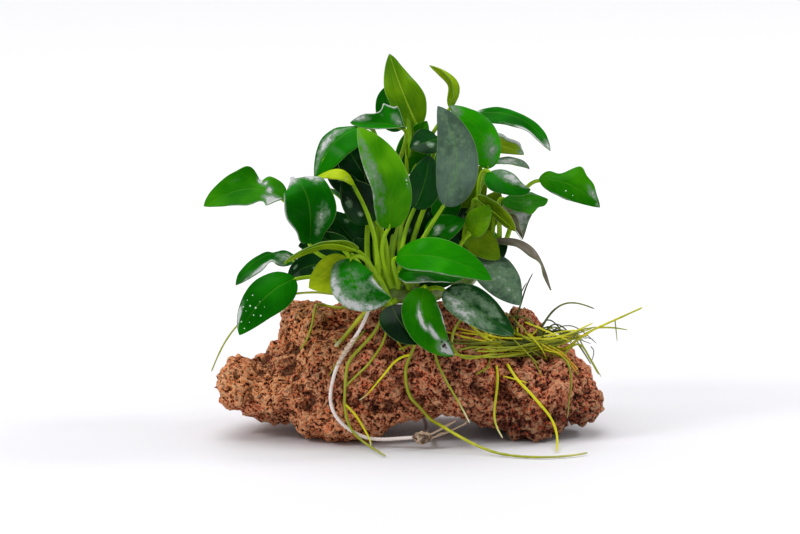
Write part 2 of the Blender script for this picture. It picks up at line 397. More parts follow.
DRESS = {
    "leaf_top": Dress("young", dents=((0.3, 1, 0.25, 0.25), (0.45, -1, -0.12, 0.1)),
                      curls=((0.7, 1, 2.5, 0.2), (0.5, -1, 2, 0.3))),
    "leaf_top_rear": Dress("deep"),
    "leaf_young_roll": Dress("lime", dents=((0.45, 1, -0.35, 0.3), (0.45, -1, -0.35, 0.3))),
    "leaf_crest": Dress("deep", patches=((0.45, -1, 0.5, 0.1, 1.5), (0.1, -0.3, 0.14, 0.4, 0.75),
                                         (0.5, 1, 0.4, 0.12, 0.9), (0.85, -0.6, 0.2, 0.5, 0.9)),
                        dents=((0.32, -1, 0.95, 0.1), (0.08, -1, 1.1, 0.07), (0.2, -1, 0.5, 0.06),
                               (0.6, -1, -0.3, 0.15), (0.2, 1, -0.4, 0.3)),
                        curls=((0.12, 1, 2, 0.1), (0.32, -1, -2, 0.12), (0.08, -1, 2, 0.08))),
    "leaf_front": Dress("fresh", patches=((0.55, 0.55, 0.45, 0.42, 0.62), (0.5, 0.98, 0.5, 0.07, 0.9),
                                           (0.38, -0.93, 0.07, 0.08, 1.0)),
                        curls=((0.5, -1, 1.2, 0.3), (0.4, 1, 1.5, 0.3))),
    "leaf_left_round": Dress("deep", patches=((0.5, -0.48, 0.42, 0.34, 0.95),
                                              (0.85, -0.4, 0.15, 0.4, 0.8)),
                             curls=((0.5, 1, 1.5, 0.3),)),
    "leaf_shade_left": Dress("dark"),
    "leaf_curled_yellow": Dress("lime", patches=((0.85, -0.6, 0.15, 0.3, 0.9),),
                                dents=((0.8, 1, 0.4, 0.1), (0.65, 1, -0.3, 0.06),
                                       (0.9, -1, -0.4, 0.05)),
                                curls=((0.8, 1, 2.5, 0.1), (0.6, -1, -2, 0.1))),
    "leaf_big_left": Dress("deep", patches=((0.3, -0.5, 0.17, 0.26, 0.85), (0.97, 0, 0.16, 1.6, 1.3),
                                            (0.78, -0.75, 0.12, 0.35, 1.25), (0.2, 1, 0.5, 0.06, 1.5)),
                           dents=((0.92, -1, -0.8, 0.06), (0.75, -1, 0.18, 0.08), (0.97, 1, -0.3, 0.04),
                                  (0.16, 1, -0.36, 0.16), (0.16, -1, -0.4, 0.16), (0.85, 1, 0.15, 0.1)),
                           curls=((0.85, 1, -2.5, 0.12), (0.78, -1, -3.5, 0.15), (0.3, -1, 1.5, 0.2))),
    "leaf_far_left": Dress("mid", patches=((0.1, 0.55, 0.12, 0.4, 1.6), (0.33, -0.8, 0.025, 0.3, 1.6),
                                           (0.27, -0.45, 0.03, 0.2, 1.4), (0.2, -0.1, 0.04, 0.25, 1.4),
                                           (0.55, -0.6, 0.1, 0.2, 0.3), (0.5, 0.97, 0.5, 0.05, 0.9)),
                           dents=((0.33, -1, -0.35, 0.04), (0.44, -1, 0.14, 0.06), (0.6, -1, 0.1, 0.1),
                                  (0.22, -1, -0.1, 0.07), (0.25, 1, -0.2, 0.1), (0.1, 1, 0.6, 0.06)),
                           curls=((0.33, -1, -3, 0.06), (0.45, -1, 2, 0.1), (0.1, 1, 2.5, 0.1))),
    "leaf_low_arch": Dress("deep", patches=((0.5, 0.85, 0.5, 0.22, 1.2), (0.15, 0, 0.15, 0.6, 0.8)),
                           dents=((0.33, -1, -0.35, 0.05), (0.33, 1, -0.2, 0.08)),
                           curls=((0.35, 1, 2, 0.2), (0.5, -1, -1.5, 0.2))),
    "leaf_edge_arch": Dress("olive", patches=((0.6, 0.7, 0.3, 0.2, 0.8),)),
    "leaf_droplet": Dress("deep", patches=((0.82, -0.8, 0.13, 0.13, 1.7),),
                          dents=((0.4, 1, 0.08, 0.2),)),
    "leaf_bright": Dress("lime"),
    "leaf_sheen": Dress("deep", patches=((0.55, -0.8, 0.5, 0.4, 1.1), (0.75, 0.85, 0.3, 0.3, 1.0),
                                         (0.5, 0, 0.5, 0.8, 0.42)),
                        dents=((0.25, -1, -0.15, 0.15),)),
    "leaf_bright_front": Dress("bright", patches=((0.5, -1, 0.6, 0.07, 0.7),)),
    "leaf_spotted": Dress("mid", patches=((0.42, -0.14, 0.17, 0.13, 1.5), (0.62, 0.1, 0.12, 0.16, 1.5),
                                          (0.9, 0, 0.12, 0.6, 1.8), (0.5, 1, 0.5, 0.06, 1.2)),
                          curls=((0.6, 1, 1.5, 0.3),)),
    "leaf_dark_low": Dress("dark", patches=((0.3, -0.5, 0.45, 0.6, 0.8), (0.6, 0.45, 0.25, 0.35, 0.65),
                                            (0.2, 0.3, 0.2, 0.6, 0.6), (0.6, -0.95, 0.4, 0.06, 1.3))),
    "leaf_wavy": Dress("deep", patches=((0.45, -0.7, 0.15, 0.3, 0.8), (0.5, -1, 0.5, 0.06, 1.3)),
                       dents=((0.25, -1, 0.3, 0.07), (0.45, -1, -0.4, 0.07), (0.65, -1, 0.35, 0.07)),
                       curls=((0.25, -1, 2, 0.08), (0.45, -1, -2, 0.08), (0.65, -1, 2, 0.08))),
    "leaf_grey_right": Dress("slate", patches=((0.5, 0, 0.9, 1.3, 0.62), (0.5, 0.97, 0.5, 0.05, 0.6))),
    "leaf_far_right": Dress("mid", patches=((0.8, 0.5, 0.15, 0.35, 0.75), (0.97, 0, 0.05, 0.6, 0.9),
                                            (0.35, -1, 0.3, 0.06, 1.1)),
                            dents=((0.25, 1, -0.3, 0.1), (0.45, 1, 0.5, 0.12), (0.7, 1, 0.3, 0.1),
                                   (0.5, -1, 0.15, 0.1)),
                            curls=((0.3, 1, -2, 0.1), (0.5, 1, 2, 0.12), (0.5, -1, 1.5, 0.1))),
    "leaf_sheen_right": Dress("deep", patches=((0.5, 0.6, 0.6, 0.5, 0.95),),
                              dents=((0.3, -1, 0.3, 0.2),)),
    "leaf_right_mid": Dress("mid", patches=((0.5, 0.1, 0.15, 0.5, 0.5), (0.7, 0.9, 0.3, 0.15, 0.6)),
                            dents=((0.6, -1, 0.3, 0.08), (0.75, -1, -0.3, 0.08), (0.5, 1, -0.2, 0.1))),
    "leaf_arch_right": Dress("deep", patches=((0.75, -0.9, 0.3, 0.2, 1.6), (0.06, 0.5, 0.06, 0.5, 0.9),
                                             (0.95, 0, 0.08, 1, 1.0)),
                             dents=((0.25, 1, 0.2, 0.1), (0.5, -1, -0.2, 0.3)),
                             curls=((0.7, -1, 2, 0.25),)),
    "leaf_right_upper": Dress("olive", patches=((0.6, 0.85, 0.6, 0.2, 1.5), (0.95, 0, 0.1, 1, 0.9)),
                              dents=((0.55, 1, -0.2, 0.1), (0.8, 1, 0.3, 0.08))),
    "leaf_edge_right": Dress("slate", patches=((0.4, 0, 0.6, 1.3, 0.95),)),
    "leaf_big_sheen": Dress("slate", patches=((0.5, 0, 0.9, 1.3, 0.35), (0.5, 0.95, 0.5, 0.07, 0.6))),
    "leaf_beside_sheen": Dress("bright", patches=((0.22, -0.25, 0.22, 0.6, 0.6),
                                                  (0.95, 0.1, 0.12, 1, 0.95),
                                                  (0.5, -1, 0.5, 0.08, 0.5))),
    "leaf_small_glossy": Dress("dark", patches=((0.4, 0.3, 0.12, 0.25, 1.0),
                                                (0.75, -0.2, 0.12, 0.2, 0.9))),
    "leaf_shade_mid": Dress("dark"),
    "leaf_young_top": Dress("young"),
    "leaf_behind_front": Dress("dark", patches=((0.3, 0.4, 0.06, 0.12, 1.0),
                                                (0.6, 0.6, 0.1, 0.2, 0.8))),
    "leaf_sheen_mid": Dress("deep", patches=((0.4, 0.1, 0.14, 0.3, 1.0), (0.7, -0.4, 0.1, 0.2, 0.9))),
    "leaf_pale_under": Dress("olive", patches=((0.5, 1, 0.6, 0.1, 1.8),)),
    "leaf_stripe": Dress("young"),
    "leaf_inner_right": Dress("olive"),
    "leaf_droop": Dress("dry", patches=((0.5, 0.9, 0.5, 0.3, 0.8),),
                        dents=((0.3, 1, 0.2, 0.06), (0.5, 1, -0.3, 0.08), (0.75, 1, 0.3, 0.06)),
                        curls=((0.5, 1, 2, 0.4), (0.7, -1, 2, 0.1))),
    "leaf_curled_brown": Dress("dry", patches=((0.6, 0.6, 0.3, 0.4, 1.1), (0.2, -0.5, 0.2, 0.3, 0.8)),
                               dents=((0.6, 1, 0.4, 0.08), (0.4, 1, -0.4, 0.06), (0.75, -1, 0.5, 0.08),
                                      (0.5, -1, -0.4, 0.08)),
                               curls=((0.5, 1, 4, 0.3), (0.7, -1, 3, 0.2))),
    "leaf_low_dark": Dress("dark"),
    "leaf_back_left": Dress("deep", patches=((0.5, 0.4, 0.2, 0.3, 0.8),)),
    "leaf_back_middle": Dress("mid", patches=((0.6, -0.5, 0.2, 0.3, 0.8),)),
    "leaf_back_right": Dress("deep", patches=((0.4, 0.5, 0.3, 0.3, 0.7),)),
    "leaf_back_low_left": Dress("mid"),
    "leaf_back_low": Dress("deep", patches=((0.5, -0.4, 0.2, 0.3, 0.9),)),
    "leaf_back_low_right": Dress("mid", patches=((0.6, 0.4, 0.2, 0.2, 0.7),)),
    "inner_l": Dress("olive"),
    "inner_t": Dress("deep", patches=((0.5, 0.4, 0.2, 0.3, 0.8),)),
    "inner_u": Dress("mid"),
    "inner_v": Dress("mid", patches=((0.6, -0.4, 0.2, 0.3, 0.7),)),
    "inner_w": Dress("deep"),
    "inner_x": Dress("bright"),
    "inner_n": Dress("deep", patches=((0.5, 0.5, 0.2, 0.3, 0.7),)),
    "inner_o": Dress("mid"),
    "inner_d": Dress("deep", patches=((0.5, 0.4, 0.1, 0.2, 0.8),)),
    "inner_e": Dress("olive"),
}
# What the table leaves out is a dark blade of the middle
PLAIN_DRESS = Dress("dark", patches=((0.35, 0.3, 0.08, 0.15, 0.75), (0.7, -0.5, 0.07, 0.12, 0.7)))


class Bead(NamedTuple):
    """A bead on a blade: place in the front view, radius, height as a share of it, and look."""

    across: float
    up: float
    radius: float
    height: float = 0.5
    look: str = "water"


BEADS = {
    "leaf_droplet": (
        Bead(-66.5, 54.5, 0.32), Bead(-68.6, 52.6, 0.22), Bead(-70.1, 50.0, 0.3),
        Bead(-71.4, 47.4, 0.24), Bead(-67.4, 50.4, 0.4), Bead(-65.2, 49.6, 0.42),
        Bead(-69.0, 48.4, 0.2), Bead(-66.0, 46.8, 0.3), Bead(-63.2, 46.6, 0.36),
        Bead(-63.6, 52.0, 0.2), Bead(-70.8, 44.2, 0.34), Bead(-69.6, 41.6, 0.28),
        Bead(-61.8, 50.0, 0.18), Bead(-67.6, 44.0, 0.18),
    ),
    "leaf_spotted": (
        Bead(8.2, 35.0, 1.05, 0.18, "burnt"), Bead(9.9, 36.6, 0.55, 0.25, "burnt"),
        Bead(7.4, 36.4, 0.5, 0.25, "burnt"), Bead(9.2, 34.0, 0.4, 0.3, "burnt"),
    ),
    "leaf_far_right": (Bead(57.4, 96.0, 0.36), Bead(60.2, 94.2, 0.2)),
    "leaf_front": (Bead(-6.2, 99.6, 0.4, 0.3), Bead(-6.0, 98.2, 0.25, 0.4)),
}


# Shared tools
def place(point):
    """The upright position, in metres, of a point given in the front view."""
    across, up, away = point
    sine, cosine = math.sin(VIEW_TILT), math.cos(VIEW_TILT)
    return MM * Vector((
        across - CENTRE_ACROSS,
        up * sine + away * cosine - CENTRE_AWAY,
        up * cosine - away * sine,
    ))


def aim(direction):
    """A direction of the front view, turned upright."""
    return (place(direction) - place((0, 0, 0))).normalized()


def deselect_all():
    if bpy.context.mode != "OBJECT":
        bpy.ops.object.mode_set(mode="OBJECT")
    bpy.ops.object.select_all(action="DESELECT")


def pick(*pieces):
    """Select these pieces alone; the first is the active one."""
    deselect_all()
    for piece in pieces:
        piece.select_set(True)
    bpy.context.view_layer.objects.active = pieces[0]


def add_object(name, data):
    made = bpy.data.objects.new(name, data)
    bpy.context.collection.objects.link(made)
    return made


def copy_of(piece, name):
    made = piece.copy()
    made.data = piece.data.copy()
    made.name = name
    made.data.name = name
    bpy.context.collection.objects.link(made)
    return made


def edit_whole(piece, operator, **settings):
    """Run an edit-mode operator on all of a piece's mesh."""
    pick(piece)
    bpy.ops.object.mode_set(mode="EDIT")
    bpy.ops.mesh.select_all(action="SELECT")
    operator(**settings)
    bpy.ops.object.mode_set(mode="OBJECT")


def cad_copy(node, name):
    """A merged copy of a solid of the part, free to be worked on."""
    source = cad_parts[node]
    made = add_object(name, source.data.copy())
    made.data.transform(source.matrix_world)
    made.data.materials.clear()
    edit_whole(made, bpy.ops.mesh.remove_doubles, threshold=0.01 * MM)
    return made


def apply_modifiers(piece):
    pick(piece)
    for modifier in list(piece.modifiers):
        bpy.ops.object.modifier_apply(modifier=modifier.name)


def settle_place(piece):
    """Move a piece's place, turn and scale into its mesh."""
    pick(piece)
    bpy.ops.object.transform_apply(location=True, rotation=True, scale=True)


def smooth_shade(piece):
    pick(piece)
    bpy.ops.object.shade_smooth()


def turn_to_mesh(piece):
    pick(piece)
    bpy.ops.object.convert(target="MESH")
    return bpy.context.object


def join(pieces, name):
    pick(*pieces)
    bpy.ops.object.join()
    joined = bpy.context.object
    joined.name = name
    joined.data.name = name
    return joined


def finish_piece(piece, slot, *nodes):
    """Let a piece ride on the body, in a material slot, in place of these nodes."""
    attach(piece, BODY)
    if nodes:
        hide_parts(*nodes)


def displace(piece, name, strength, texture=None, middle=0.5, direction="NORMAL", group=""):
    push = piece.modifiers.new(name, "DISPLACE")
    push.strength = strength
    push.mid_level = middle
    push.direction = direction
    push.vertex_group = group
    if texture:
        push.texture = texture
        push.texture_coords = "LOCAL"


def subdivide(piece, levels):
    smooth = piece.modifiers.new("subdivide", "SUBSURF")
    smooth.levels = levels
    smooth.render_levels = levels


def cloud_texture(name, size, depth):
    texture = bpy.data.textures.new(name, "CLOUDS")
    texture.noise_scale = size
    texture.noise_depth = depth
    return texture


def skin_of(piece):
    """What strands and beads find a finished piece by."""
    points = [vert.co.copy() for vert in piece.data.vertices]
    return BVHTree.FromPolygons(points, [face.vertices[:] for face in piece.data.polygons])


def spoke(side, other, turn):
    """The direction at an angle from one side, towards the other."""
    return side * math.cos(turn) + other * math.sin(turn)


def even_shares(count):
    """So many numbers, evenly from 0 to 1."""
    return [k / (count - 1) for k in range(count)]


# Paths
def sides_along(path):
    """A direction across the path at each point, carried along without twisting."""
    tangents = []
    for i in range(len(path)):
        tangents.append((path[min(i + 1, len(path) - 1)] - path[max(i - 1, 0)]).normalized())
    side = tangents[0].orthogonal().normalized()
    sides = []
    for tangent in tangents:
        side = (side - tangent * side.dot(tangent)).normalized()
        sides.append((side, tangent.cross(side)))
    return sides


def smooth_path(points, spacing):
    """Points a spacing apart on a smooth curve through the given ones."""
    ends = [points[0] * 2 - points[1], *points, points[-1] * 2 - points[-2]]
    fine = []
    for i in range(1, len(ends) - 2):
        before, start, stop, after = ends[i - 1:i + 3]
        for k in range(CURVE_STEPS):
            t = k / CURVE_STEPS
            fine.append(0.5 * (
                start * 2
                + (stop - before) * t
                + (before * 2 - start * 5 + stop * 4 - after) * t ** 2
                + (start * 3 - before - stop * 3 + after) * t ** 3
            ))
    fine.append(points[-1])
    return respace(fine, spacing)


def respace(fine, spacing):
    """The same run of points, evenly spaced."""
    reach = [0.0]
    for start, stop in zip(fine, fine[1:]):
        reach.append(reach[-1] + (stop - start).length)
    count = max(2, round(reach[-1] / spacing))
    path = []
    j = 0
    for i in range(count + 1):
        goal = reach[-1] * i / count
        while j < len(reach) - 2 and reach[j + 1] < goal:
            j += 1
        step = reach[j + 1] - reach[j]
        share = (goal - reach[j]) / step if step > 0 else 0.0
        path.append(fine[j].lerp(fine[j + 1], min(1.0, share)))
    return path


class Run(NamedTuple):
    """One round strand: its points and radii, and what its material reads along it."""

    points: list
    radii: list
    tone: float
    pale_end: float = 0.0


def tube(name, runs, sides=8):
    """One mesh of round strands, painted with their tone and pale ends."""
    curve = bpy.data.curves.new(name, "CURVE")
    curve.dimensions = "3D"
    curve.bevel_depth = 1.0
    curve.bevel_resolution = (sides - 4) // 2
    tones = []
    ends = []
    for run in runs:
        spline = curve.splines.new("POLY")
        spline.points.add(len(run.points) - 1)
        for i, (knot, point, radius) in enumerate(zip(spline.points, run.points, run.radii)):
            knot.co = (*point, 1)
            knot.radius = radius
            share = i / (len(run.points) - 1)
            tones += [run.tone] * sides
            ends += [run.pale_end * max(0.0, share - 1 + PALE_END) / PALE_END] * sides
    made = turn_to_mesh(add_object(name, curve))
    if len(made.data.vertices) != len(tones):
        raise RuntimeError(f"{name}: {len(made.data.vertices)} points for {len(tones)} values")
    paint_attribute(made, "tone", tones)
    paint_attribute(made, "pale_end", ends)
    edit_whole(made, bpy.ops.mesh.fill_holes, sides=sides)
    smooth_shade(made)
    return made


# Shader maths
class Value:
    """A socket of a material's nodes: sums and products of values add Math nodes."""

    def __init__(self, nodes, socket):
        self.nodes = nodes
        self.socket = socket

    def math(self, operation, *others):
        sockets = dict(enumerate((self, *others)))
        return self.nodes.add("ShaderNodeMath", sockets, operation=operation)

    def __add__(self, other):
        return self.math("ADD", other)

    def __mul__(self, other):
        return self.math("MULTIPLY", other)

    __radd__ = __add__
    __rmul__ = __mul__

    def __sub__(self, other):
        return self.math("SUBTRACT", other)

    def __rsub__(self, other):
        return self.nodes.add("ShaderNodeMath", {0: other, 1: self}, operation="SUBTRACT")

    def __abs__(self):
        return self.math("ABSOLUTE")

    def sine(self):
        return self.math("SINE")

    def step(self, low, high):
        """0 below low, 1 above high, and smooth between; high may be the lower one."""
        sockets = {"Value": self, "From Min": low, "From Max": high}
        return self.nodes.add("ShaderNodeMapRange", sockets, interpolation_type="SMOOTHSTEP")


class Finish:
    """A material whose surface shader is fed by expressions."""

    def __init__(self, name, **constants):
        self.material = bpy.data.materials.new(name)
        self.material.use_nodes = True
        self.tree = self.material.node_tree
        self.shader = self.tree.nodes["Principled BSDF"]
        for socket, value in constants.items():
            label = socket.replace("_", " ").title().replace("Ior", "IOR")
            self.shader.inputs[label].default_value = value

    def add(self, kind, sockets=None, out=0, **settings):
        """A node of this kind: its settings first, then its sockets; gives one output."""
        node = self.tree.nodes.new(kind)
        for key, value in settings.items():
            setattr(node, key, value)
        for socket, value in (sockets or {}).items():
            if isinstance(value, Value):
                self.tree.links.new(value.socket, node.inputs[socket])
            else:
                node.inputs[socket].default_value = value
        return Value(self, node.outputs[out])

    def feed(self, socket, value):
        """Let a value drive one of the surface shader's sockets."""
        self.tree.links.new(value.socket, self.shader.inputs[socket])

    def spot(self):
        return self.add("ShaderNodeTexCoord", out="Object")

    def coordinate(self, spot, axis):
        return self.add("ShaderNodeSeparateXYZ", {0: spot}, axis)

    def stretched(self, spot, factors):
        return self.add("ShaderNodeMapping", {"Vector": spot, "Scale": factors})

    def noise(self, scale, detail=3.0, rough=0.55, spot=None):
        sockets = {"Vector": spot or self.spot(), "Scale": scale, "Detail": detail, "Roughness": rough}
        return self.add("ShaderNodeTexNoise", sockets)

    def cells(self, scale):
        """A random colour for each cell."""
        return self.add("ShaderNodeTexVoronoi", {"Vector": self.spot(), "Scale": scale}, "Color")

    def attribute(self, name):
        return self.add("ShaderNodeAttribute", out="Fac", attribute_name=name)

    def mix(self, first, second, share):
        """Two colours mixed: either may be a plain colour."""
        sockets = {0: share, 6: opaque(first), 7: opaque(second)}
        return self.add("ShaderNodeMix", sockets, 2, data_type="RGBA")

    def bump(self, height, strength, depth):
        sockets = {"Height": height, "Strength": strength, "Distance": depth}
        return self.add("ShaderNodeBump", sockets)


def opaque(colour):
    """A plain colour with the alpha that a Mix node's sockets take."""
    return colour if isinstance(colour, Value) else (*colour, 1.0)


def paint_attribute(piece, name, values):
    """A number for each point of the mesh."""
    layer = piece.data.attributes.new(name, "FLOAT", "POINT")
    layer.data.foreach_set("value", numpy.asarray(values, dtype=numpy.float32))


# Stone
def stone_finish(look):
    """Grains of several reds and browns, pale on the ridges and nearly black in the pits."""
    finish = Finish("lava_rock", roughness=0.95, specular_ior_level=0.12)
    relief = finish.attribute("relief")
    hollow = finish.attribute("hollow")
    side = finish.coordinate(finish.spot(), "X")
    height = finish.coordinate(finish.spot(), "Z")
    broad = finish.noise(22, 3)
    patch = finish.noise(60, 4, 0.6)
    grit = finish.noise(820, 3, 0.68)
    kind = finish.add("ShaderNodeSeparateColor", {0: finish.cells(950)}, "Red")
    warmth = (side * -9.0 + broad * 1.6).step(0.7, 1.4)
    ground = finish.mix(look.red, look.tan, warmth)
    ground = finish.mix(ground, look.rust, patch.step(0.5, 0.62) * 0.6)
    ground = finish.mix(ground, look.deep, finish.noise(38, 4).step(0.5, 0.64) * 0.65)
    low = height.step(20 * MM, 7 * MM) * side.step(5 * MM, 35 * MM)
    ground = finish.mix(ground, look.purple, low * 0.9)
    light = grit.step(0.52, 0.585) * (warmth * 0.2 + 0.62) * (1 - low * 0.7)
    grain = finish.mix(ground, look.pale, light)
    grain = finish.mix(grain, look.rust, kind.step(0.22, 0.05) * 0.6)
    grain = finish.mix(grain, look.deep, kind.step(0.72, 0.95) * 0.55)
    grain = finish.mix(grain, look.pit, grit.step(0.482, 0.432))
    lit = finish.mix(grain, look.pale, relief.step(0.2, 0.9) * 0.4)
    dark = finish.mix(lit, look.pit, relief.step(-0.25, -0.9) * 0.6)
    finish.feed("Base Color", finish.mix(dark, look.pit, hollow.step(-0.35, -1.0) * 0.5))
    fine = finish.noise(1700, 3, 0.7)
    finish.feed("Normal", finish.bump(grit * 2.6 + fine * 0.5, 1.0, 0.85 * MM))
    return finish.material


def numbers_of(items, name, width, kind=float):
    """What a mesh's points or edges say under this name, a row for each."""
    rows = numpy.empty(len(items) * width, dtype=kind)
    items.foreach_get(name, rows)
    return rows.reshape(-1, width)


def relief_of(piece, rounds, depth):
    """How far each point stands out of the smoothed surface: -1 deep in, 1 on a ridge."""
    points = numbers_of(piece.data.vertices, "co", 3)
    normals = numbers_of(piece.data.vertices, "normal", 3)
    edges = numbers_of(piece.data.edges, "vertices", 2, numpy.int64)
    start, stop = edges[:, 0], edges[:, 1]
    count = len(points)
    neighbours = numpy.bincount(edges.ravel(), minlength=count).reshape(-1, 1)
    calm = points
    for _ in range(rounds):
        total = numpy.zeros_like(calm)
        for axis in range(3):
            total[:, axis] += numpy.bincount(start, calm[stop, axis], count)
            total[:, axis] += numpy.bincount(stop, calm[start, axis], count)
        calm = total / neighbours
    offset = ((points - calm) * normals).sum(axis=1)
    return numpy.clip(offset / depth, -1, 1)


def rough_texture(name, kind, size, depth, stops):
    """Crumbly noise, or cells; stops are a ramp's places and heights."""
    texture = bpy.data.textures.new(name, kind)
    texture.noise_scale = size
    if kind == "CLOUDS":
        texture.noise_type = "HARD_NOISE"
        texture.noise_depth = depth
    if stops:
        texture.use_color_ramp = True
        ramp = texture.color_ramp
        while len(ramp.elements) < len(stops):
            ramp.elements.new(0.5)
        for element, (position, height) in zip(ramp.elements, stops):
            element.position = position
            element.color = (height, height, height, 1)
    return texture


def make_stone(look):
    """The solid's crags, with grains, crumbs and pits; flat under its feet."""
    stone = cad_copy("stone", "stone_fine")
    grid = stone.modifiers.new("grid", "REMESH")
    grid.mode = "VOXEL"
    grid.voxel_size = look.grid
    soften = stone.modifiers.new("soften", "SMOOTH")
    soften.factor = 0.5
    soften.iterations = 8
    for name, height, middle, kind, size, depth, stops in (
        ("crumbs", look.crumb, 0.5, "CLOUDS", 3.0, 3, ()),
        ("crevices", -look.crevice, 0.0, "CLOUDS", 9, 1, ((0.0, 1), (0.1, 0))),
        ("pits", -look.pit_depth, 0.0, "VORONOI", 2.6, 0, ((0.0, 1), (0.12, 0.8), (0.3, 0))),
        ("grains", -look.grain, 0.5, "VORONOI", 1.7, 0, ()),
        ("crumble", look.grain, 0.5, "CLOUDS", 1.3, 2, ()),
    ):
        texture = rough_texture("stone_" + name, kind, size * MM, depth, stops)
        displace(stone, name, height, texture, middle)
    apply_modifiers(stone)
    edit_whole(stone, bpy.ops.mesh.bisect, plane_co=(0, 0, 0), plane_no=(0, 0, 1),
               use_fill=True, clear_inner=True)
    paint_attribute(stone, "relief", relief_of(stone, *FINE_RELIEF))
    paint_attribute(stone, "hollow", relief_of(stone, *BROAD_RELIEF))
    stone.data.materials.append(stone_finish(look))
    smooth_shade(stone)
    finish_piece(stone, "stone", "stone")


# Rhizomes
def rhizome_finish(look):
    """Green and olive stem with the scars of old leaves across it."""
    finish = Finish("creeping_stem", roughness=0.45, coat_weight=0.2)
    rough = finish.noise(300, 4)
    scars = finish.noise(120, 2, spot=finish.stretched(finish.spot(), (6, 1, 1)))
    green = finish.mix(look.green, look.olive, rough.step(0.35, 0.7))
    finish.feed("Base Color", finish.mix(green, look.scar, scars.step(0.62, 0.7) * 0.7))
    finish.feed("Normal", finish.bump(rough + scars * 0.6, 0.5, 0.4 * MM))
    return finish.material


def make_rhizomes(look):
    finish = rhizome_finish(look)
    knobs = cloud_texture("rhizome_knobs", 3.2 * MM, 2)
    for name in RHIZOMES:
        node = "rhizome_" + name
        stem = cad_copy(node, node + "_fine")
        subdivide(stem, 3)
        displace(stem, "knobs", look.knob, knobs)
        apply_modifiers(stem)
        stem.data.materials.append(finish)
        smooth_shade(stem)
        finish_piece(stem, "rhizome", node)


# Leaves
def bud_start(bud):
    """Where a petiole leaves its rhizome, and in which direction."""
    name, distance, angle = bud
    path = smooth_path([place(point) for point in RHIZOMES[name]], MM)
    index = min(len(path) - 2, max(1, round(distance)))
    along = (path[index + 1] - path[index - 1]).normalized()
    up = aim((0, 1, 0))
    up = (up - along * up.dot(along)).normalized()
    front = aim((0, 0, -1))
    front = (front - along * front.dot(along) - up * front.dot(up)).normalized()
    out = spoke(up, front, math.radians(angle))
    return path[index] + out * BUD_OUT, out


def blade_share(t):
    """The blade's width at a share t of its length, as a share of its widest."""
    if not 0 < t < 1:
        return 0.0
    low, high = BLADE_FULLNESS
    peak = low / (low + high)
    most = peak ** low * (1 - peak) ** high
    return t ** low * (1 - t) ** high / most


def blade_pattern():
    """A flat blade one long and one to each side, with weights for its margin and midrib."""
    deselect_all()
    bpy.ops.mesh.primitive_grid_add(
        x_subdivisions=BLADE_ROWS, y_subdivisions=BLADE_COLUMNS, size=1, location=(0.5, 0, 0)
    )
    pattern = bpy.context.object
    pattern.name = "blade_pattern"
    settle_place(pattern)
    columns = sorted({round(vert.co.x, 5) for vert in pattern.data.vertices})
    bpy.ops.object.mode_set(mode="EDIT")
    shape = bmesh.from_edit_mesh(pattern.data)
    for column in columns:
        t = 0.5 - 0.5 * math.cos(math.pi * column)
        for vert in shape.verts:
            vert.select = abs(vert.co.x - column) < 1e-4 and not vert.tag
        for vert in shape.verts:
            vert.tag = vert.tag or vert.select
        shape.select_flush_mode()
        bmesh.update_edit_mesh(pattern.data)
        bpy.ops.transform.resize(value=(1, 2 * blade_share(t), 1), center_override=(column, 0, 0))
        bpy.ops.transform.translate(value=(t - column, 0, 0))
    edit_whole(pattern, bpy.ops.mesh.remove_doubles, threshold=1e-5)
    fold = pattern.vertex_groups.new(name="fold")
    edge = pattern.vertex_groups.new(name="edge")
    groove = pattern.vertex_groups.new(name="groove")
    for vert in pattern.data.vertices:
        share = blade_share(vert.co.x)
        out = abs(vert.co.y) / share if share else 0.0
        fold.add([vert.index], abs(vert.co.y) * out ** 0.35, "REPLACE")
        edge.add([vert.index], out ** 2 * share, "REPLACE")
        groove.add([vert.index], max(0.0, 1 - (out / 0.16) ** 2) * min(1, 4 * share), "REPLACE")
    return pattern


def midrib(leaf):
    """The blade's middle line as four Bezier points."""
    base, middle, tip = place(leaf.base), place(leaf.middle), place(leaf.tip)
    control = middle * 2 - (base + tip) * 0.5
    return base, base.lerp(control, 2 / 3), tip.lerp(control, 2 / 3), tip


def bezier_curve(name, knots):
    """A curve through knots, each a point with its two handles and a radius."""
    curve = bpy.data.curves.new(name, "CURVE")
    curve.dimensions = "3D"
    curve.resolution_u = 24
    spline = curve.splines.new("BEZIER")
    spline.bezier_points.add(len(knots) - 1)
    for knot, (before, point, after, radius) in zip(spline.bezier_points, knots):
        knot.handle_left_type = "FREE"
        knot.handle_right_type = "FREE"
        knot.co = point
        knot.handle_left = before
        knot.handle_right = after
        knot.radius = radius
    return add_object(name, curve)


def blade_axes(leaf, rib):
    """A turn whose Z is the upper face's direction and whose X runs along the blade."""
    face = aim(leaf.facing)
    along = (rib[2] - rib[1]).normalized()
    along = (along - face * along.dot(face)).normalized()
    across = face.cross(along)
    return Matrix((along, across, face)).transposed().to_4x4()


def bell(distance, reach):
    """1 at no distance, and less and less beyond the reach."""
    return math.exp(-(distance / reach) ** 2)


def shape_sides(blade, dress, half):
    """Dent, widen and curl the two sides, and paint where the blade is pale."""
    pale = []
    for vert in blade.data.vertices:
        t, y = vert.co.x, vert.co.y
        widest = blade_share(t) * half
        across = y / widest if widest else 0.0
        for at, side, amount, reach in dress.dents:
            if y * side > 0:
                vert.co.y += y * amount * bell(t - at, reach)
        for at, side, height, reach in dress.curls:
            if y * side > 0:
                vert.co.z += height * MM * across ** 2 * bell(t - at, reach)
        shares = [0.0]
        for at, side, reach, width, strength in dress.patches:
            shares.append(strength * bell(t - at, reach) * bell(across - side, width))
        pale.append(max(shares))
    paint_attribute(blade, "pale", pale)


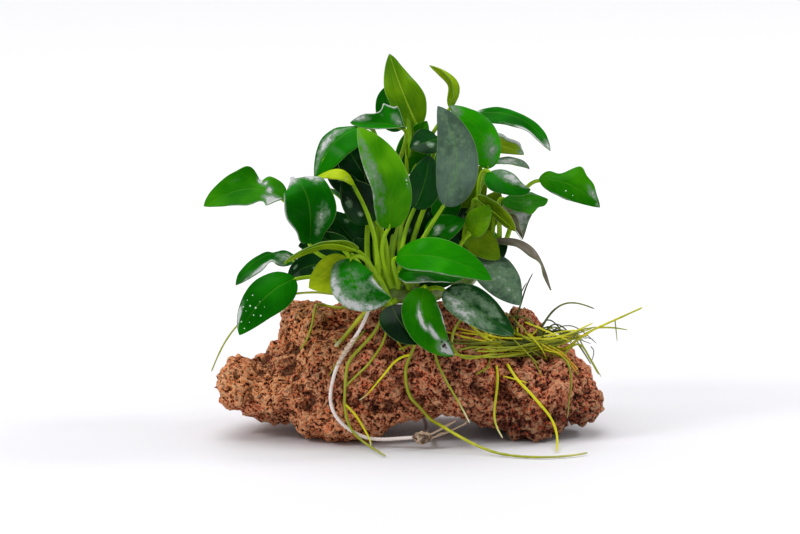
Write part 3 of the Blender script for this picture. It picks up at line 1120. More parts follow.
def wave_texture(name, size):
    """One texture of this name for all the blades."""
    return bpy.data.textures.get(name) or cloud_texture(name, size, 1)


def make_blade(name, leaf, dress, pattern, look):
    """A copy of the pattern, shaped flat, bent along its midrib and given its thickness."""
    rib = midrib(leaf)
    turn = blade_axes(leaf, rib)
    flat = [turn.inverted() @ point for point in rib]
    line = bezier_curve("midrib", (
        (flat[0] * 2 - flat[1], flat[0], flat[1], 1), (flat[2], flat[3], flat[3] * 2 - flat[2], 1)
    ))
    line.data.twist_mode = "Z_UP"
    line.data.use_stretch = True
    line.data.use_deform_bounds = True
    blade = copy_of(pattern, name)
    half = leaf.width * 0.5 * MM
    blade.scale = (1, half, 1)
    settle_place(blade)
    shape_sides(blade, dress, half)
    displace(blade, "fold", leaf.fold * half, middle=0, direction="Z", group="fold")
    displace(blade, "groove", -look.groove, middle=0, direction="Z", group="groove")
    bend = blade.modifiers.new("bend", "CURVE")
    bend.object = line
    bend.deform_axis = "POS_X"
    apply_modifiers(blade)
    bpy.data.objects.remove(line)
    blade.matrix_world = turn
    settle_place(blade)
    ripple = (look.ripple + leaf.wave * MM) * 2
    displace(blade, "ripple", ripple, wave_texture("ripple", 9 * MM), group="edge")
    displace(blade, "warp", look.warp * 2, wave_texture("warp", 16 * MM))
    wall = blade.modifiers.new("wall", "SOLIDIFY")
    wall.thickness = look.thickness
    wall.offset = 0
    wall.material_offset = 1
    subdivide(blade, 1)
    apply_modifiers(blade)
    return blade


def split_bezier(points, t):
    """The two halves of a cubic, cut at a share t."""
    first, second, third, fourth = points
    a, b, c = first.lerp(second, t), second.lerp(third, t), third.lerp(fourth, t)
    d, e = a.lerp(b, t), b.lerp(c, t)
    cut = d.lerp(e, t)
    return (first, a, d, cut), (cut, e, c, fourth)


def make_stalk(leaf, look):
    """Petiole and keel in one: from the bud up to the blade and on along its underside."""
    rib = midrib(leaf)
    start, out = bud_start(leaf.bud)
    base = rib[0]
    along = (rib[1] - base).normalized()
    pull = (base - start).length * PETIOLE_PULL
    bow = place(leaf.bow) - place((0, 0, 0))
    first = start + out * pull + bow
    second = base - along * pull + bow
    face = aim(leaf.facing)
    near, far = split_bezier(rib, KEEL_START)
    low = []
    for point, sink in zip((*near, *far[1:]), KEEL_SINKS, strict=True):
        low.append(point - face * (sink * look.petiole))
    lower, upper = split_bezier((start, first, second, low[0]), 0.5)
    stalk = bezier_curve("stalk", (
        (start - out * MM, start, lower[1], 1.3 * look.petiole),
        (lower[2], lower[3], upper[1], 1.0 * look.petiole),
        (upper[2], low[0], low[1], 0.82 * look.petiole),
        (low[2], low[3], low[4], 0.45 * look.petiole),
        (low[5], low[6], low[6], 0.12 * look.petiole),
    ))
    stalk.data.bevel_depth = 1.0
    stalk.data.bevel_resolution = 2
    stalk.data.use_fill_caps = True
    stalk.data.resolution_u = 10
    return turn_to_mesh(stalk)


def blade_finish(name, dark, light, look, gloss, streaks):
    """The upper side of a blade: mottled green, waxy pale patches, thin light margin, brown tip."""
    finish = Finish(name, coat_weight=gloss, coat_roughness=0.23, specular_ior_level=0.0)
    place_on = finish.add("ShaderNodeUVMap", uv_map="UVMap")
    along = finish.coordinate(place_on, "X")
    across = abs(finish.coordinate(place_on, "Y") - 0.5) * 2
    lean = along - across * (1.25 - across * 0.45) * 0.2
    lateral = (lean * (2 * math.pi * look.vein_pairs)).sine()
    rib = across.step(0.045, 0.01)
    broad = finish.noise(50, 2)
    mottle = finish.noise(330, 4, 0.65)
    speck = finish.noise(900, 3, 0.7)
    streak = finish.noise(1, 3, 0.6, finish.stretched(place_on, (2.5, 26, 1)))
    pale = finish.attribute("pale")
    green = finish.mix(dark, light, broad.step(0.36, 0.66))
    green = finish.mix(green, light, lateral.step(0.75, 1.0) * across.step(1.0, 0.8) * 0.12)
    green = finish.mix(green, dark, speck.step(0.6, 0.75) * 0.35)
    green = finish.mix(green, light, streak.step(0.55, 0.7) * streaks)
    green = finish.mix(green, dark, streak.step(0.45, 0.33) * streaks)
    waxy = pale + (mottle - 0.5) * pale.step(0.05, 0.4) * 1.5 + (speck - 0.5) * pale * 0.9
    green = finish.mix(green, look.waxy, waxy.step(0.15, 0.6) * 0.85)
    green = finish.mix(green, look.frost, waxy.step(0.6, 1.05))
    green = finish.mix(green, look.edge, across.step(0.965, 0.99) * 0.55)
    green = finish.mix(green, look.vein, rib * along.step(1.0, 0.4) * 0.3)
    finish.feed("Base Color", finish.mix(green, look.tip, along.step(0.955, 0.99) * 0.85))
    finish.feed("Roughness", mottle * 0.2 + pale * 0.15 + 0.3)
    relief = lateral * 0.2 - rib * 0.5 + broad * 0.6
    ripples = finish.noise(210, 2)
    normal = finish.bump(relief * across.step(1.0, 0.9) + ripples * 0.6 + speck * 0.06, 0.5, 0.4 * MM)
    finish.feed("Normal", normal)
    return finish.material


def underside_finish(name, colour):
    """The underside of a blade: duller, with darker clouds."""
    finish = Finish(name, roughness=0.5, specular_ior_level=0.1)
    tone = finish.noise(90, 3)
    finish.feed("Base Color", finish.mix(colour, [0.55 * part for part in colour], tone.step(0.3, 0.7)))
    finish.feed("Normal", finish.bump(finish.noise(500, 3), 0.25, 0.2 * MM))
    return finish.material


def stalk_finish(look):
    """Petiole and keel: fresh green with darker stretches."""
    finish = Finish("petiole_green", roughness=0.35, coat_weight=0.15, specular_ior_level=0.1)
    tone = finish.noise(60, 2)
    lines = finish.noise(260, 2)
    green = finish.mix(look.stalk, look.stalk_dark, tone.step(0.48, 0.75))
    finish.feed("Base Color", finish.mix(green, look.stalk_dark, lines.step(0.55, 0.8) * 0.5))
    return finish.material


def leaf_finishes(look):
    """Each look's upper side, underside, stalk and slot."""
    stalk = stalk_finish(look)
    made = {}
    for name, dark, light, below, gloss, streaks, slot in (
        ("deep", look.deep, look.deep_light, look.below, 0.05, 0.4, "leaf"),
        ("mid", look.mid, look.mid_light, look.below, 0.04, 0.35, "leaf"),
        ("dark", look.dark, look.dark_light, look.below_dark, 0.22, 0.4, "leaf"),
        ("slate", look.slate, look.slate_light, look.below, 0.08, 0.5, "leaf"),
        ("olive", look.olive, look.olive_light, look.below_bright, 0.05, 0.8, "leaf"),
        ("bright", look.bright, look.bright_light, look.below_bright, 0.03, 0.35, "pale_leaf"),
        ("fresh", look.fresh, look.fresh_light, look.below_bright, 0.04, 0.4, "pale_leaf"),
        ("young", look.young, look.young_light, look.below_bright, 0.08, 0.8, "pale_leaf"),
        ("lime", look.lime, look.lime_light, look.lime, 0.08, 0.7, "pale_leaf"),
        ("dry", look.dry, look.dry_light, look.dry_light, 0.1, 0.9, "dry_leaf"),
    ):
        upper = blade_finish("blade_" + name, dark, light, look, gloss, streaks)
        lower = underside_finish("underside_" + name, below)
        made[name] = upper, lower, stalk, slot
    return made


def bead_finishes(look):
    water = Finish("water_bead", base_color=(*look.water, 1), roughness=0.05, coat_weight=1.0)
    burnt = Finish("burnt_spot", base_color=(*look.burnt, 1), roughness=0.9)
    return {"water": water.material, "burnt": burnt.material}


def make_beads(beads, blade, leaf, finishes):
    """Flattened beads that sit on the blade where the front view meets it."""
    ground = [skin_of(blade)]
    face = aim(leaf.facing).to_track_quat("Z", "Y").to_euler()
    made = []
    for bead in beads:
        spot = meet((bead.across, bead.up), -GAP, ground)
        bpy.ops.mesh.primitive_uv_sphere_add(
            segments=12, ring_count=8, radius=bead.radius * MM, location=spot, rotation=face
        )
        drop = bpy.context.object
        drop.scale = (1, 1, bead.height)
        settle_place(drop)
        drop.data.materials.append(finishes[bead.look])
        made.append(drop)
    return made


def make_leaves(look):
    """Every leaf: blade, stalk and beads in one piece."""
    pattern = blade_pattern()
    finishes = leaf_finishes(look)
    bead_looks = bead_finishes(look)
    for name, leaf in (LEAVES | INNER_LEAVES).items():
        dress = DRESS.get(name, PLAIN_DRESS)
        upper, lower, stalk_green, slot = finishes[dress.look]
        blade = make_blade(name + "_fine", leaf, dress, pattern, look)
        blade.data.materials.append(upper)
        blade.data.materials.append(lower)
        stalk = make_stalk(leaf, look)
        stalk.data.materials.append(stalk_green)
        beads = make_beads(BEADS.get(name, ()), blade, leaf, bead_looks)
        made = join([blade, stalk, *beads], name + "_fine")
        smooth_shade(made)
        nodes = (name,) if name in LEAVES else ()
        finish_piece(made, slot, *nodes)
    bpy.data.objects.remove(pattern)


# Strands
def meet(point, radius, solids):
    """The centre of a strand that lies where the view through this point meets a solid or the floor."""
    towards = aim((0, 0, 1))
    reach = VIEW_REACH * MM
    start = place((*point, -VIEW_REACH))
    hits = [hit for hit in (solid.ray_cast(start, towards) for solid in solids) if hit[0]]
    rest = (start.z - radius - GAP) / -towards.z
    if rest < reach and (not hits or rest < min(hit[3] for hit in hits)):
        return start + towards * rest
    if not hits:
        hits = [solid.find_nearest(place((*point, -STRAND_DEPTH))) for solid in solids]
    spot, normal, _, _ = min(hits, key=lambda hit: hit[3])
    return spot + normal * (radius + GAP)


def is_inside(probe, solid):
    """Whether a ray from here first meets the solid's skin from within."""
    spot, normal, _, _ = solid.ray_cast(probe, SOUNDING)
    return spot is not None and normal.dot(SOUNDING) > 0


def push_out(path, radius, solids):
    """Move a path, and the stretches between its points, clear of the solids and the floor."""
    clear = radius + PUSH_GAP
    moves = [Vector() for _ in path]
    for i in range(len(path)):
        for share in PUSH_SHARES:
            after = min(i + 1, len(path) - 1)
            probe = path[i].lerp(path[after], share)
            for solid in solids:
                spot, normal, _, distance = solid.find_nearest(probe)
                inside = distance < THICKEST and is_inside(probe, solid)
                if not inside and distance >= clear:
                    continue
                away = normal if inside else (probe - spot).normalized()
                short = (clear + distance if inside else clear - distance) + PUSH_MARGIN
                for j in {i, after if share else i}:
                    if short > moves[j].length:
                        moves[j] = away * min(short, MOST_PUSH)
    for i, move in enumerate(moves):
        path[i] += move
        path[i].z = max(path[i].z, clear)


def settle(path, radius, solids, joins):
    """Draw a path taut, mostly along the view, while it stays clear of what it lies on."""
    view = aim((0, 0, 1))
    for k in range(SETTLE_ROUNDS):
        pull = TAUTNESS * max(0.0, 1 - k / (SETTLE_ROUNDS - PUSH_ROUNDS))
        calm = [point.copy() for point in path]
        for i in range(1, len(path) - 1):
            change = (path[i - 1] + path[i + 1]) * 0.5 - path[i]
            depth = view * change.dot(view)
            calm[i] += depth * pull + (change - depth) * pull * SIDE_TAUTNESS
        path[:] = calm
        push_out(path, radius, solids)
        for i, spot in joins.items():
            path[i] = spot.copy()
    for _ in range(SMOOTH_ROUNDS):
        threes = zip(path, path[1:], path[2:])
        path[1:-1] = [(before + point * 2 + after) / 4 for before, point, after in threes]
        push_out(path, radius * SMOOTH_RADIUS, solids)


def nearest_on(paths, point):
    """The spot on these paths that is nearest to a point."""
    spots = []
    for path in paths:
        for start, stop in zip(path, path[1:]):
            share = geometry.intersect_point_line(point, start, stop)[1]
            spots.append(start.lerp(stop, min(1.0, max(0.0, share))))
    return min(spots, key=lambda spot: (spot - point).length)


def lay_strand(strand, solids, spacing, stems=()):
    """A strand's path over the solids, from the stems it branches off, if there are any."""
    radius = strand.radius * MM
    known = []
    for point in strand.points:
        known.append(place(point) if len(point) == 3 else meet(point, radius, solids))
    path = smooth_path(known, spacing)
    joins = {}
    if stems:
        joins[0] = nearest_on(stems, path[0])
        end = nearest_on(stems, path[-1])
        if (end - path[-1]).length < JOIN_REACH:
            joins[len(path) - 1] = end
    settle(path, radius, solids, joins)
    return path


def taper(path, radius, thin_end, seed):
    """Radii along a root: thinner to its end, with small knots."""
    count = len(path) - 1
    radii = []
    for i in range(count + 1):
        knot = 1 + 0.16 * noise.noise(Vector((i * 0.35, seed * 7.3, 0)))
        radii.append(radius * (1 - (1 - thin_end) * (i / count) ** 2) * knot)
    radii[-1] *= 0.5
    return radii


def root_finish(look):
    """Green, golden, orange or dark by the strand's tone, with fine lengthwise flecks."""
    finish = Finish("root_green", roughness=0.42, coat_weight=0.15, specular_ior_level=0.3)
    tone = finish.attribute("tone") + (finish.noise(60, 3) - 0.5) * 0.6
    fine = finish.noise(700, 3)
    colour = finish.mix(look.root_dark, look.root, tone.step(0.05, 0.35))
    colour = finish.mix(colour, look.root_gold, tone.step(0.5, 0.8))
    colour = finish.mix(colour, look.root_orange, tone.step(0.92, 1.1))
    colour = finish.mix(colour, look.root_dark, fine.step(0.55, 0.75) * 0.3)
    finish.feed("Base Color", finish.mix(colour, look.root_pale, finish.attribute("pale_end")))
    finish.feed("Normal", finish.bump(fine, 0.3, 0.2 * MM))
    return finish.material


def stone_and_stems():
    """What the roots and the tie lie on."""
    names = ["stone", *(f"rhizome_{name}" for name in RHIZOMES)]
    return [skin_of(bpy.data.objects[name + "_fine"]) for name in names]


# The tone of each strand of a root and how pale its end is
PLAIN_TONE = (0.5, 0)
ROOT_TONES = {
    "root_mat": ((0.7, 0), (0.55, 0), (0.75, 0), (0.65, 0), (0.35, 0), (0.12, 0), (0.05, 0)),
    "root_short": ((0.6, 1),),
    "roots_left": ((0.45, 0.2), (0.5, 0), (0.8, 1)),
    "roots_middle": ((0.55, 0.4), (0.95, 1)),
    "root_pale_tip": ((0.5, 1),),
    "root_upright": ((0.62, 1),),
    "root_bent": ((0.85, 0.2),),
    "root_olive": ((0.25, 0.2),),
    "root_far_left": ((0.4, 0),),
}


def make_roots(look):
    """Each root or fused group of roots, laid over the stone."""
    finish = root_finish(look)
    solids = stone_and_stems()
    for seed, (name, strands) in enumerate(ROOTS.items()):
        tones = ROOT_TONES.get(name, (PLAIN_TONE,) * len(strands))
        paths = []
        runs = []
        for strand, (tone, pale_end) in zip(strands, tones, strict=True):
            path = lay_strand(strand, solids, look.spacing, paths)
            paths.append(path)
            fine = smooth_path(path, ROOT_STEP)
            radii = taper(fine, strand.radius * MM, strand.thin_end, seed + len(paths))
            runs.append(Run(fine, radii, tone, pale_end))
        root = tube(name + "_fine", runs)
        root.data.materials.append(finish)
        finish_piece(root, "root", name)


# Fine roots that the solids leave out, each with its tone and how pale its end is
FINE_ROOTS = (
    (Strand(((62, 35, -14), (65, 31, -16), (67, 27, -16)), 0.35), 0.2, 0),
    (Strand(((76.6, 44.4, -14), (77.6, 40, -15), (77.4, 36, -15)), 0.28), 0.3, 0),
    (Strand(((70, 41.5, -14), (73, 42.8, -14), (77.6, 42.8, -14), (81.6, 40.6, -14)), 0.4), 0.6, 0),
    (Strand(((-22, 40), (-25, 37), (-31, 29), (-36, 24), (-37, 22)), 0.35), 0.4, 0),
    (Strand(((-8.5, 33), (-4, 33.5), (0, 35.5), (3, 38)), 0.45), 0.45, 0),
    (Strand(((-7, 32.5), (-10, 35.5), (-11, 38)), 0.35), 0.8, 1),
    (Strand(((-33, 33.5), (-34.5, 35), (-34.5, 36.5)), 0.5), 0.7, 1),
    (Strand(((31.5, 23), (36, 21.5), (41.5, 19.5)), 0.35), 0.95, 0),
    (Strand(((21, 23.5), (24, 24), (27, 26)), 0.35), 0.3, 0),
    (Strand(((27, 31), (26, 26), (24, 23.5)), 0.3), 0.3, 0),
    (Strand(((41, 30), (44, 27), (47, 22)), 0.3), 0.3, 0),
    (Strand(((31, 33), (36, 36), (42, 39), (46, 43, -14)), 0.4), 0.9, 0),
    (Strand(((38, 42), (36, 36), (40, 33), (46, 31), (53, 34)), 0.35), 0.8, 0),
    (Strand(((67, 34, -14), (70, 36, -14), (70, 32, -14), (67, 27.5, -14)), 0.22), 0.0, 0),
    (Strand(((61, 40, -13), (64, 33, -15), (68, 28, -16), (71, 22, -16)), 0.28), 0.35, 0),
    (Strand(((60, 39, -12), (63, 34, -14), (65, 30, -15)), 0.25), 0.1, 0),
    (Strand(((38.8, 54, -8), (41, 60, -8), (44, 63.2, -8), (43.6, 60.5, -8), (41.6, 58.8, -8)), 0.26),
     0.0, 0),
    (Strand(((-14, 52, -30), (-13, 48, -33), (-11, 44)), 0.4), 0.7, 1),
)


def over_the_edge(across, up, dice):
    """A point on the stone, or past the stone's edge in the air."""
    return (across, up) if across < STONE_EDGE else (across, up, EDGE_AWAY + dice.gauss(0, 1.2))


def bundle_strand(dice):
    """One of the many fine roots that run right over the stone and gather at its edge."""
    start, stop = dice.uniform(9, 38), dice.triangular(42, 71, 60)
    low, swell = min(7, max(-5.5, dice.gauss(0, 3.9))), dice.uniform(-5, 5)
    sway, phase = dice.uniform(0.6, 2.4), dice.uniform(0, 2 * math.pi)
    points = []
    for share in even_shares(7):
        across = start + (stop - start) * share
        up = 34 + 0.006 * (across - 34) ** 2 + low * (1 - 0.75 * share) + swell * share * (1 - share)
        points.append(over_the_edge(across, up + sway * math.sin(phase + 6.5 * share), dice))
    return Strand(tuple(points), dice.uniform(0.24, 0.45), 0.7)


def slanting_strand(dice):
    """One of the roots that cross the bundle on their way down."""
    across, up = dice.uniform(22, 46), dice.uniform(37, 47)
    run, fall, bulge = dice.uniform(8, 22), dice.uniform(8, 17), dice.gauss(0, 2)
    points = []
    for share in even_shares(5):
        height = up - fall * share + bulge * math.sin(math.pi * share)
        points.append(over_the_edge(across + run * share, height, dice))
    return Strand(tuple(points), dice.uniform(0.26, 0.42), 0.6)


def curly_strand(dice):
    """A dark root that arches in the air above the bundle."""
    start, stop = dice.uniform(38, 50), dice.uniform(54, 70)
    rise, phase = dice.uniform(3, 10), dice.uniform(0, 2 * math.pi)
    depth = dice.uniform(-14, -8)
    points = []
    for share in even_shares(7):
        up = 38 + rise * math.sin(math.pi * min(1, share * 1.15)) + math.sin(phase + 7 * share)
        points.append((start + (stop - start) * share, up - 2 * share, depth + dice.gauss(0, 0.6)))
    return Strand(tuple(points), dice.uniform(0.22, 0.34), 0.6)


def make_fine_roots(look):
    """The hair-fine roots, in one piece."""
    finish = root_finish(look)
    solids = stone_and_stems()
    view = aim((0, 0, 1))
    runs = []

    def lay(strand, tone, pale_end, lift=0.0):
        path = lay_strand(strand, solids, look.spacing)
        count = len(path) - 1
        for i in range(count + 1):
            path[i] -= view * lift * math.sin(math.pi * i / count)
        fine = smooth_path(path, FINE_ROOT_STEP)
        radii = taper(fine, strand.radius * MM, strand.thin_end, FINE_KNOT_SEED + len(runs))
        runs.append(Run(fine, radii, tone, pale_end))

    for strand, tone, pale_end in FINE_ROOTS:
        lay(strand, tone, pale_end)
    dice = random.Random(FINE_ROOT_SEED)
    for _ in range(look.bundle):
        lay(bundle_strand(dice), dice.choice(BUNDLE_TONES), 0, dice.uniform(0, 3.2) * MM)
    for _ in range(look.crossing):
        lay(slanting_strand(dice), dice.choice(CROSSING_TONES), 0, dice.uniform(0.5, 3.6) * MM)
    for _ in range(look.curls):
        lay(curly_strand(dice), dice.choice(CURL_TONES), 0)
    root = tube("fine_roots", runs, 6)
    root.data.materials.append(finish)
    finish_piece(root, "root")


# Tie
def tie_finish(look):
    """Wet off-white cord: tone 0 is the smooth cord, 1 its frayed, stained fibres."""
    finish = Finish("cotton_cord", roughness=0.75, specular_ior_level=0.3)
    frayed = finish.attribute("tone")
    patch = finish.noise(120, 3)
    fibre = finish.noise(1800, 3)
    colour = finish.mix(look.pale, look.grey, patch.step(0.5, 0.75) * 0.5)
    colour = finish.mix(colour, look.beige, frayed.step(0.1, 0.5))
    stained = frayed.step(0.6, 1.0) * finish.noise(300, 3).step(0.32, 0.5)
    colour = finish.mix(colour, look.stain, stained)
    finish.feed("Base Color", finish.mix(colour, look.stain, fibre.step(0.55, 0.75) * 0.25))
    finish.feed("Normal", finish.bump(fibre, 0.4, 0.2 * MM))
    return finish.material


def plies(path, look, radius):
    """The twisted strands of a cord that follows the path."""
    fine = smooth_path(path, look.pitch / PLY_POINTS)
    frames = sides_along(fine)
    twisted = []
    for ply in range(look.plies):
        points = []
        for i, (point, (side, other)) in enumerate(zip(fine, frames)):
            turn = 2 * math.pi * (i / PLY_POINTS + ply / look.plies)
            points.append(point + spoke(side, other, turn) * radius * PLY_OFFSET)
        twisted.append(Run(points, [radius * PLY_RADIUS] * len(points), 0.0))
    return twisted


def wrapping(path, radius):
    """Coarse fibres wound round the stretch of the cord below the stem."""
    fine = smooth_path(path, WRAP_STEP)
    frames = sides_along(fine)
    first, last = (round(share * len(fine)) for share in WRAPPED)
    runs = []
    for turn_at in (0, math.pi):
        points = []
        radii = []
        for i in range(first, last):
            share = (i - first) / (last - first)
            bumps = noise.noise(Vector((i * 0.16, turn_at, 0)))
            swell = 1 + 0.35 * math.sin(math.pi * share) + 0.18 * bumps
            out = spoke(*frames[i], turn_at + i * WRAP_TURN)
            points.append(fine[i] + out * radius * 0.62 * swell)
            radii.append(radius * 0.5 * swell)
        runs.append(Run(points, radii, 0.45))
    return runs


def keep_above(points, height):
    """Lift the points that would sink into the floor."""
    for point in points:
        point.z = max(point.z, height)


def tangle(centre, reach, count):
    """Loops of frayed fibre that make the knot."""
    dice = random.Random(KNOT_SEED)
    runs = []
    for _ in range(count):
        axis = Vector((dice.gauss(0, 1), dice.gauss(0, 1), dice.gauss(0, 1))).normalized()
        side = axis.orthogonal().normalized()
        other = axis.cross(side)
        points = []
        for i in range(LOOP_POINTS + 1):
            turn = 2 * math.pi * i / LOOP_POINTS * dice.choice((1.0, 1.0, 1.03))
            out = spoke(side, other, turn) * dice.uniform(0.62, 0.95)
            spot = Vector((out.x * reach[0], out.y * reach[2], out.z * reach[1]))
            points.append(centre + spot * MM * 0.8)
        points = smooth_path(points, LOOP_STEP)
        keep_above(points, 0.5 * MM)
        runs.append(Run(points, [dice.uniform(0.3, 0.55) * MM] * len(points), dice.uniform(0.75, 1.2)))
    return runs


def make_tie(look):
    """The twisted cord with its wrapped stretch, its frayed ends and its knot."""
    solids = stone_and_stems()
    radius = TIE.radius * MM
    path = lay_strand(TIE, solids, look.spacing)
    runs = plies(path, look, radius)
    runs += wrapping(path, radius * 1.15)
    dice = random.Random(FRAY_SEED)
    for strand in TIE_STRANDS:
        for _ in range(FRAY_FIBRES):
            points = []
            for point in lay_strand(strand, solids, look.spacing):
                points.append(point + Vector([dice.gauss(0, 0.35) * MM for _ in range(3)]))
            fine = smooth_path(points, MM)
            keep_above(fine, 0.4 * MM)
            runs.append(Run(fine, [FRAY_RADIUS] * len(fine), 0.55))
    centre, reach = TIE_KNOT
    runs += tangle(place(centre), reach, look.loops)
    tie = tube("tie_fine", runs, 6)
    tie.data.materials.append(tie_finish(look))
    finish_piece(tie, "tie", "tie")


# Stage
def turned_to(direction):
    """The turn of a lamp or camera that looks this way."""
    return direction.to_track_quat("-Z", "Y").to_euler()


def make_stage(look):
    deselect_all()
    bpy.ops.mesh.primitive_plane_add(size=look.floor)
    floor = bpy.context.object
    floor.name = "floor"
    paper = Finish("pale_floor", roughness=0.55)
    away = paper.add("ShaderNodeVectorMath", {0: paper.spot()}, "Value", operation="LENGTH")
    paper.feed("Base Color", paper.mix(look.floor_colour, look.floor_near, away.step(0.36, 0.16)))
    floor.data.materials.append(paper.material)
    world = bpy.data.worlds.new("studio")
    world.use_nodes = True
    back = world.node_tree.nodes["Background"]
    back.inputs["Color"].default_value = (*look.air, 1)
    back.inputs["Strength"].default_value = look.air_strength
    bpy.context.scene.world = world
    target = place(VIEW_CENTRE)
    for name, (spot, size), power in (
        ("left_box", LEFT_BOX, look.left), ("right_box", RIGHT_BOX, look.right)
    ):
        bpy.ops.object.light_add(type="AREA", location=spot)
        lamp = bpy.context.object
        lamp.name = name
        lamp.data.shape = "ELLIPSE"
        lamp.data.size, lamp.data.size_y = size
        lamp.data.energy = power
        lamp.rotation_euler = turned_to(target - Vector(spot))
    bpy.ops.object.light_add(type="SUN", location=(0, 0, 2))
    lamp = bpy.context.object
    lamp.name = "overhead"
    lamp.data.energy = look.overhead
    lamp.data.angle = look.softness
    lamp.rotation_euler = turned_to(SUN_DIRECTION)
    bpy.context.scene.view_settings.view_transform = "Standard"
    view = aim((0, 0, 1))
    bpy.ops.object.camera_add(location=target - view * look.distance)
    camera = bpy.context.object
    camera.rotation_euler = turned_to(view)
    camera.data.sensor_width = SENSOR_WIDTH
    camera.data.lens = SENSOR_WIDTH * look.distance / look.view_width
    camera.data.clip_start = 0.05
    bpy.context.scene.camera = camera


# What a user would change
def amount(name, description, default, **more):
    return bpy.props.FloatProperty(
        name=name, description=description, default=default, min=0, **more
    )


def length(name, description, default):
    return amount(name, description, default, unit="LENGTH", precision=5)


def number(name, description, default, least):
    return bpy.props.IntProperty(name=name, description=description, default=default, min=least)


def colour(name, description, default):
    return bpy.props.FloatVectorProperty(
        name=name, description=description, default=default, subtype="COLOR", size=3, min=0, max=1
    )


class StoneLook(bpy.types.PropertyGroup):
    grid: length("Grid", "Size of the smallest modelled facet", 0.72 * MM)
    grain: length("Grains", "Height of the grains", 0.42 * MM)
    crumb: length("Crumbs", "Height of the crumbly lumps", 0.95 * MM)
    crevice: length("Crevices", "Depth of the thin crevices", 1.1 * MM)
    pit_depth: length("Pits", "Depth of the pits", 0.65 * MM)
    red: colour("Red", "Terracotta of the rock", (0.8, 0.23, 0.115))
    tan: colour("Tan", "Sandier, more orange side", (1.0, 0.35, 0.115))
    deep: colour("Deep", "Darker, browner grains", (0.27, 0.062, 0.03))
    purple: colour("Purple", "The dark underside", (0.12, 0.024, 0.018))
    pale: colour("Pale", "Light grains and ridges", (1.0, 0.57, 0.31))
    rust: colour("Rust", "Reddish grains", (0.85, 0.13, 0.045))
    pit: colour("Pit", "The inside of pits", (0.03, 0.008, 0.005))


class RhizomeLook(bpy.types.PropertyGroup):
    knob: length("Knobs", "Height of the knobs and scars", 1.0 * MM)
    green: colour("Green", "Young stem", (0.2, 0.34, 0.05))
    olive: colour("Olive", "Older stem", (0.13, 0.17, 0.04))
    scar: colour("Scar", "Old leaf scars", (0.3, 0.24, 0.1))


class LeafLook(bpy.types.PropertyGroup):
    thickness: length("Thickness", "Thickness of a blade", 0.42 * MM)
    petiole: length("Petiole", "Radius of a petiole", 0.95 * MM)
    groove: length("Groove", "Depth of the midrib's groove", 0.1 * MM)
    ripple: length("Ripple", "Waviness of the margin", 0.8 * MM)
    warp: length("Warp", "Unevenness of the whole blade", 0.7 * MM)
    vein_pairs: number("Vein pairs", "Side veins on each half of a blade", 9, 1)
    deep: colour("Deep", "Old blades", (0.002, 0.085, 0.0005))
    deep_light: colour("Deep, light parts", "Lighter parts of old blades", (0.008, 0.17, 0.001))
    mid: colour("Middle", "Full-grown blades", (0.008, 0.13, 0.0005))
    mid_light: colour("Middle, light parts", "Lighter parts of full-grown blades", (0.035, 0.23, 0.002))
    dark: colour("Dark", "Blades in the thick of the plant", (0.001, 0.016, 0.003))
    dark_light: colour("Dark, light parts", "Lighter parts of dark blades", (0.004, 0.06, 0.006))
    slate: colour("Slate", "Blades with a grey bloom", (0.045, 0.085, 0.055))
    slate_light: colour("Slate, light parts", "Lighter parts of grey blades", (0.1, 0.165, 0.12))
    olive: colour("Olive", "Blades with light behind them", (0.09, 0.185, 0.004))
    olive_light: colour("Olive, light parts", "Lighter parts of olive blades", (0.24, 0.36, 0.008))
    bright: colour("Bright", "Young blades", (0.01, 0.2, 0.001))
    bright_light: colour("Bright, light parts", "Lighter parts of young blades", (0.03, 0.31, 0.002))
    young: colour("New", "The newest blades", (0.07, 0.22, 0.002))
    young_light: colour("New, light parts", "Lighter parts of the newest blades", (0.2, 0.42, 0.006))
    fresh: colour("Fresh", "The large young blade in front", (0.03, 0.2, 0.001))
    fresh_light: colour("Fresh, light parts", "Lighter parts of that blade", (0.11, 0.37, 0.005))
    lime: colour("Lime", "Rolled and lit blades", (0.19, 0.36, 0.003))
    lime_light: colour("Lime, light parts", "Lighter parts of lit blades", (0.42, 0.55, 0.01))
    waxy: colour("Waxy", "Grey-green bloom of pale patches", (0.135, 0.235, 0.13))
    frost: colour("Frost", "The palest, wettest patches", (0.5, 0.52, 0.51))
    vein: colour("Vein", "Midrib", (0.1, 0.32, 0.02))
    edge: colour("Margin", "The pale margin", (0.25, 0.42, 0.12))
    tip: colour("Tip", "Brown tips", (0.1, 0.06, 0.015))
    below: colour("Underside", "Underside of old blades", (0.03, 0.13, 0.012))
    below_dark: colour("Dark underside", "Underside of dark blades", (0.006, 0.04, 0.005))
    below_bright: colour("Bright underside", "Underside of young blades", (0.12, 0.25, 0.008))
    dry: colour("Withered", "Withered blades", (0.1, 0.09, 0.045))
    dry_light: colour("Withered, light parts", "Lighter withered parts", (0.3, 0.26, 0.22))
    water: colour("Water", "Beads of water", (0.5, 0.7, 0.5))
    burnt: colour("Burnt", "Burnt spots", (0.03, 0.012, 0.006))
    stalk: colour("Petiole", "Petioles", (0.3, 0.52, 0.01))
    stalk_dark: colour("Petiole, dark parts", "Darker petioles", (0.12, 0.26, 0.008))


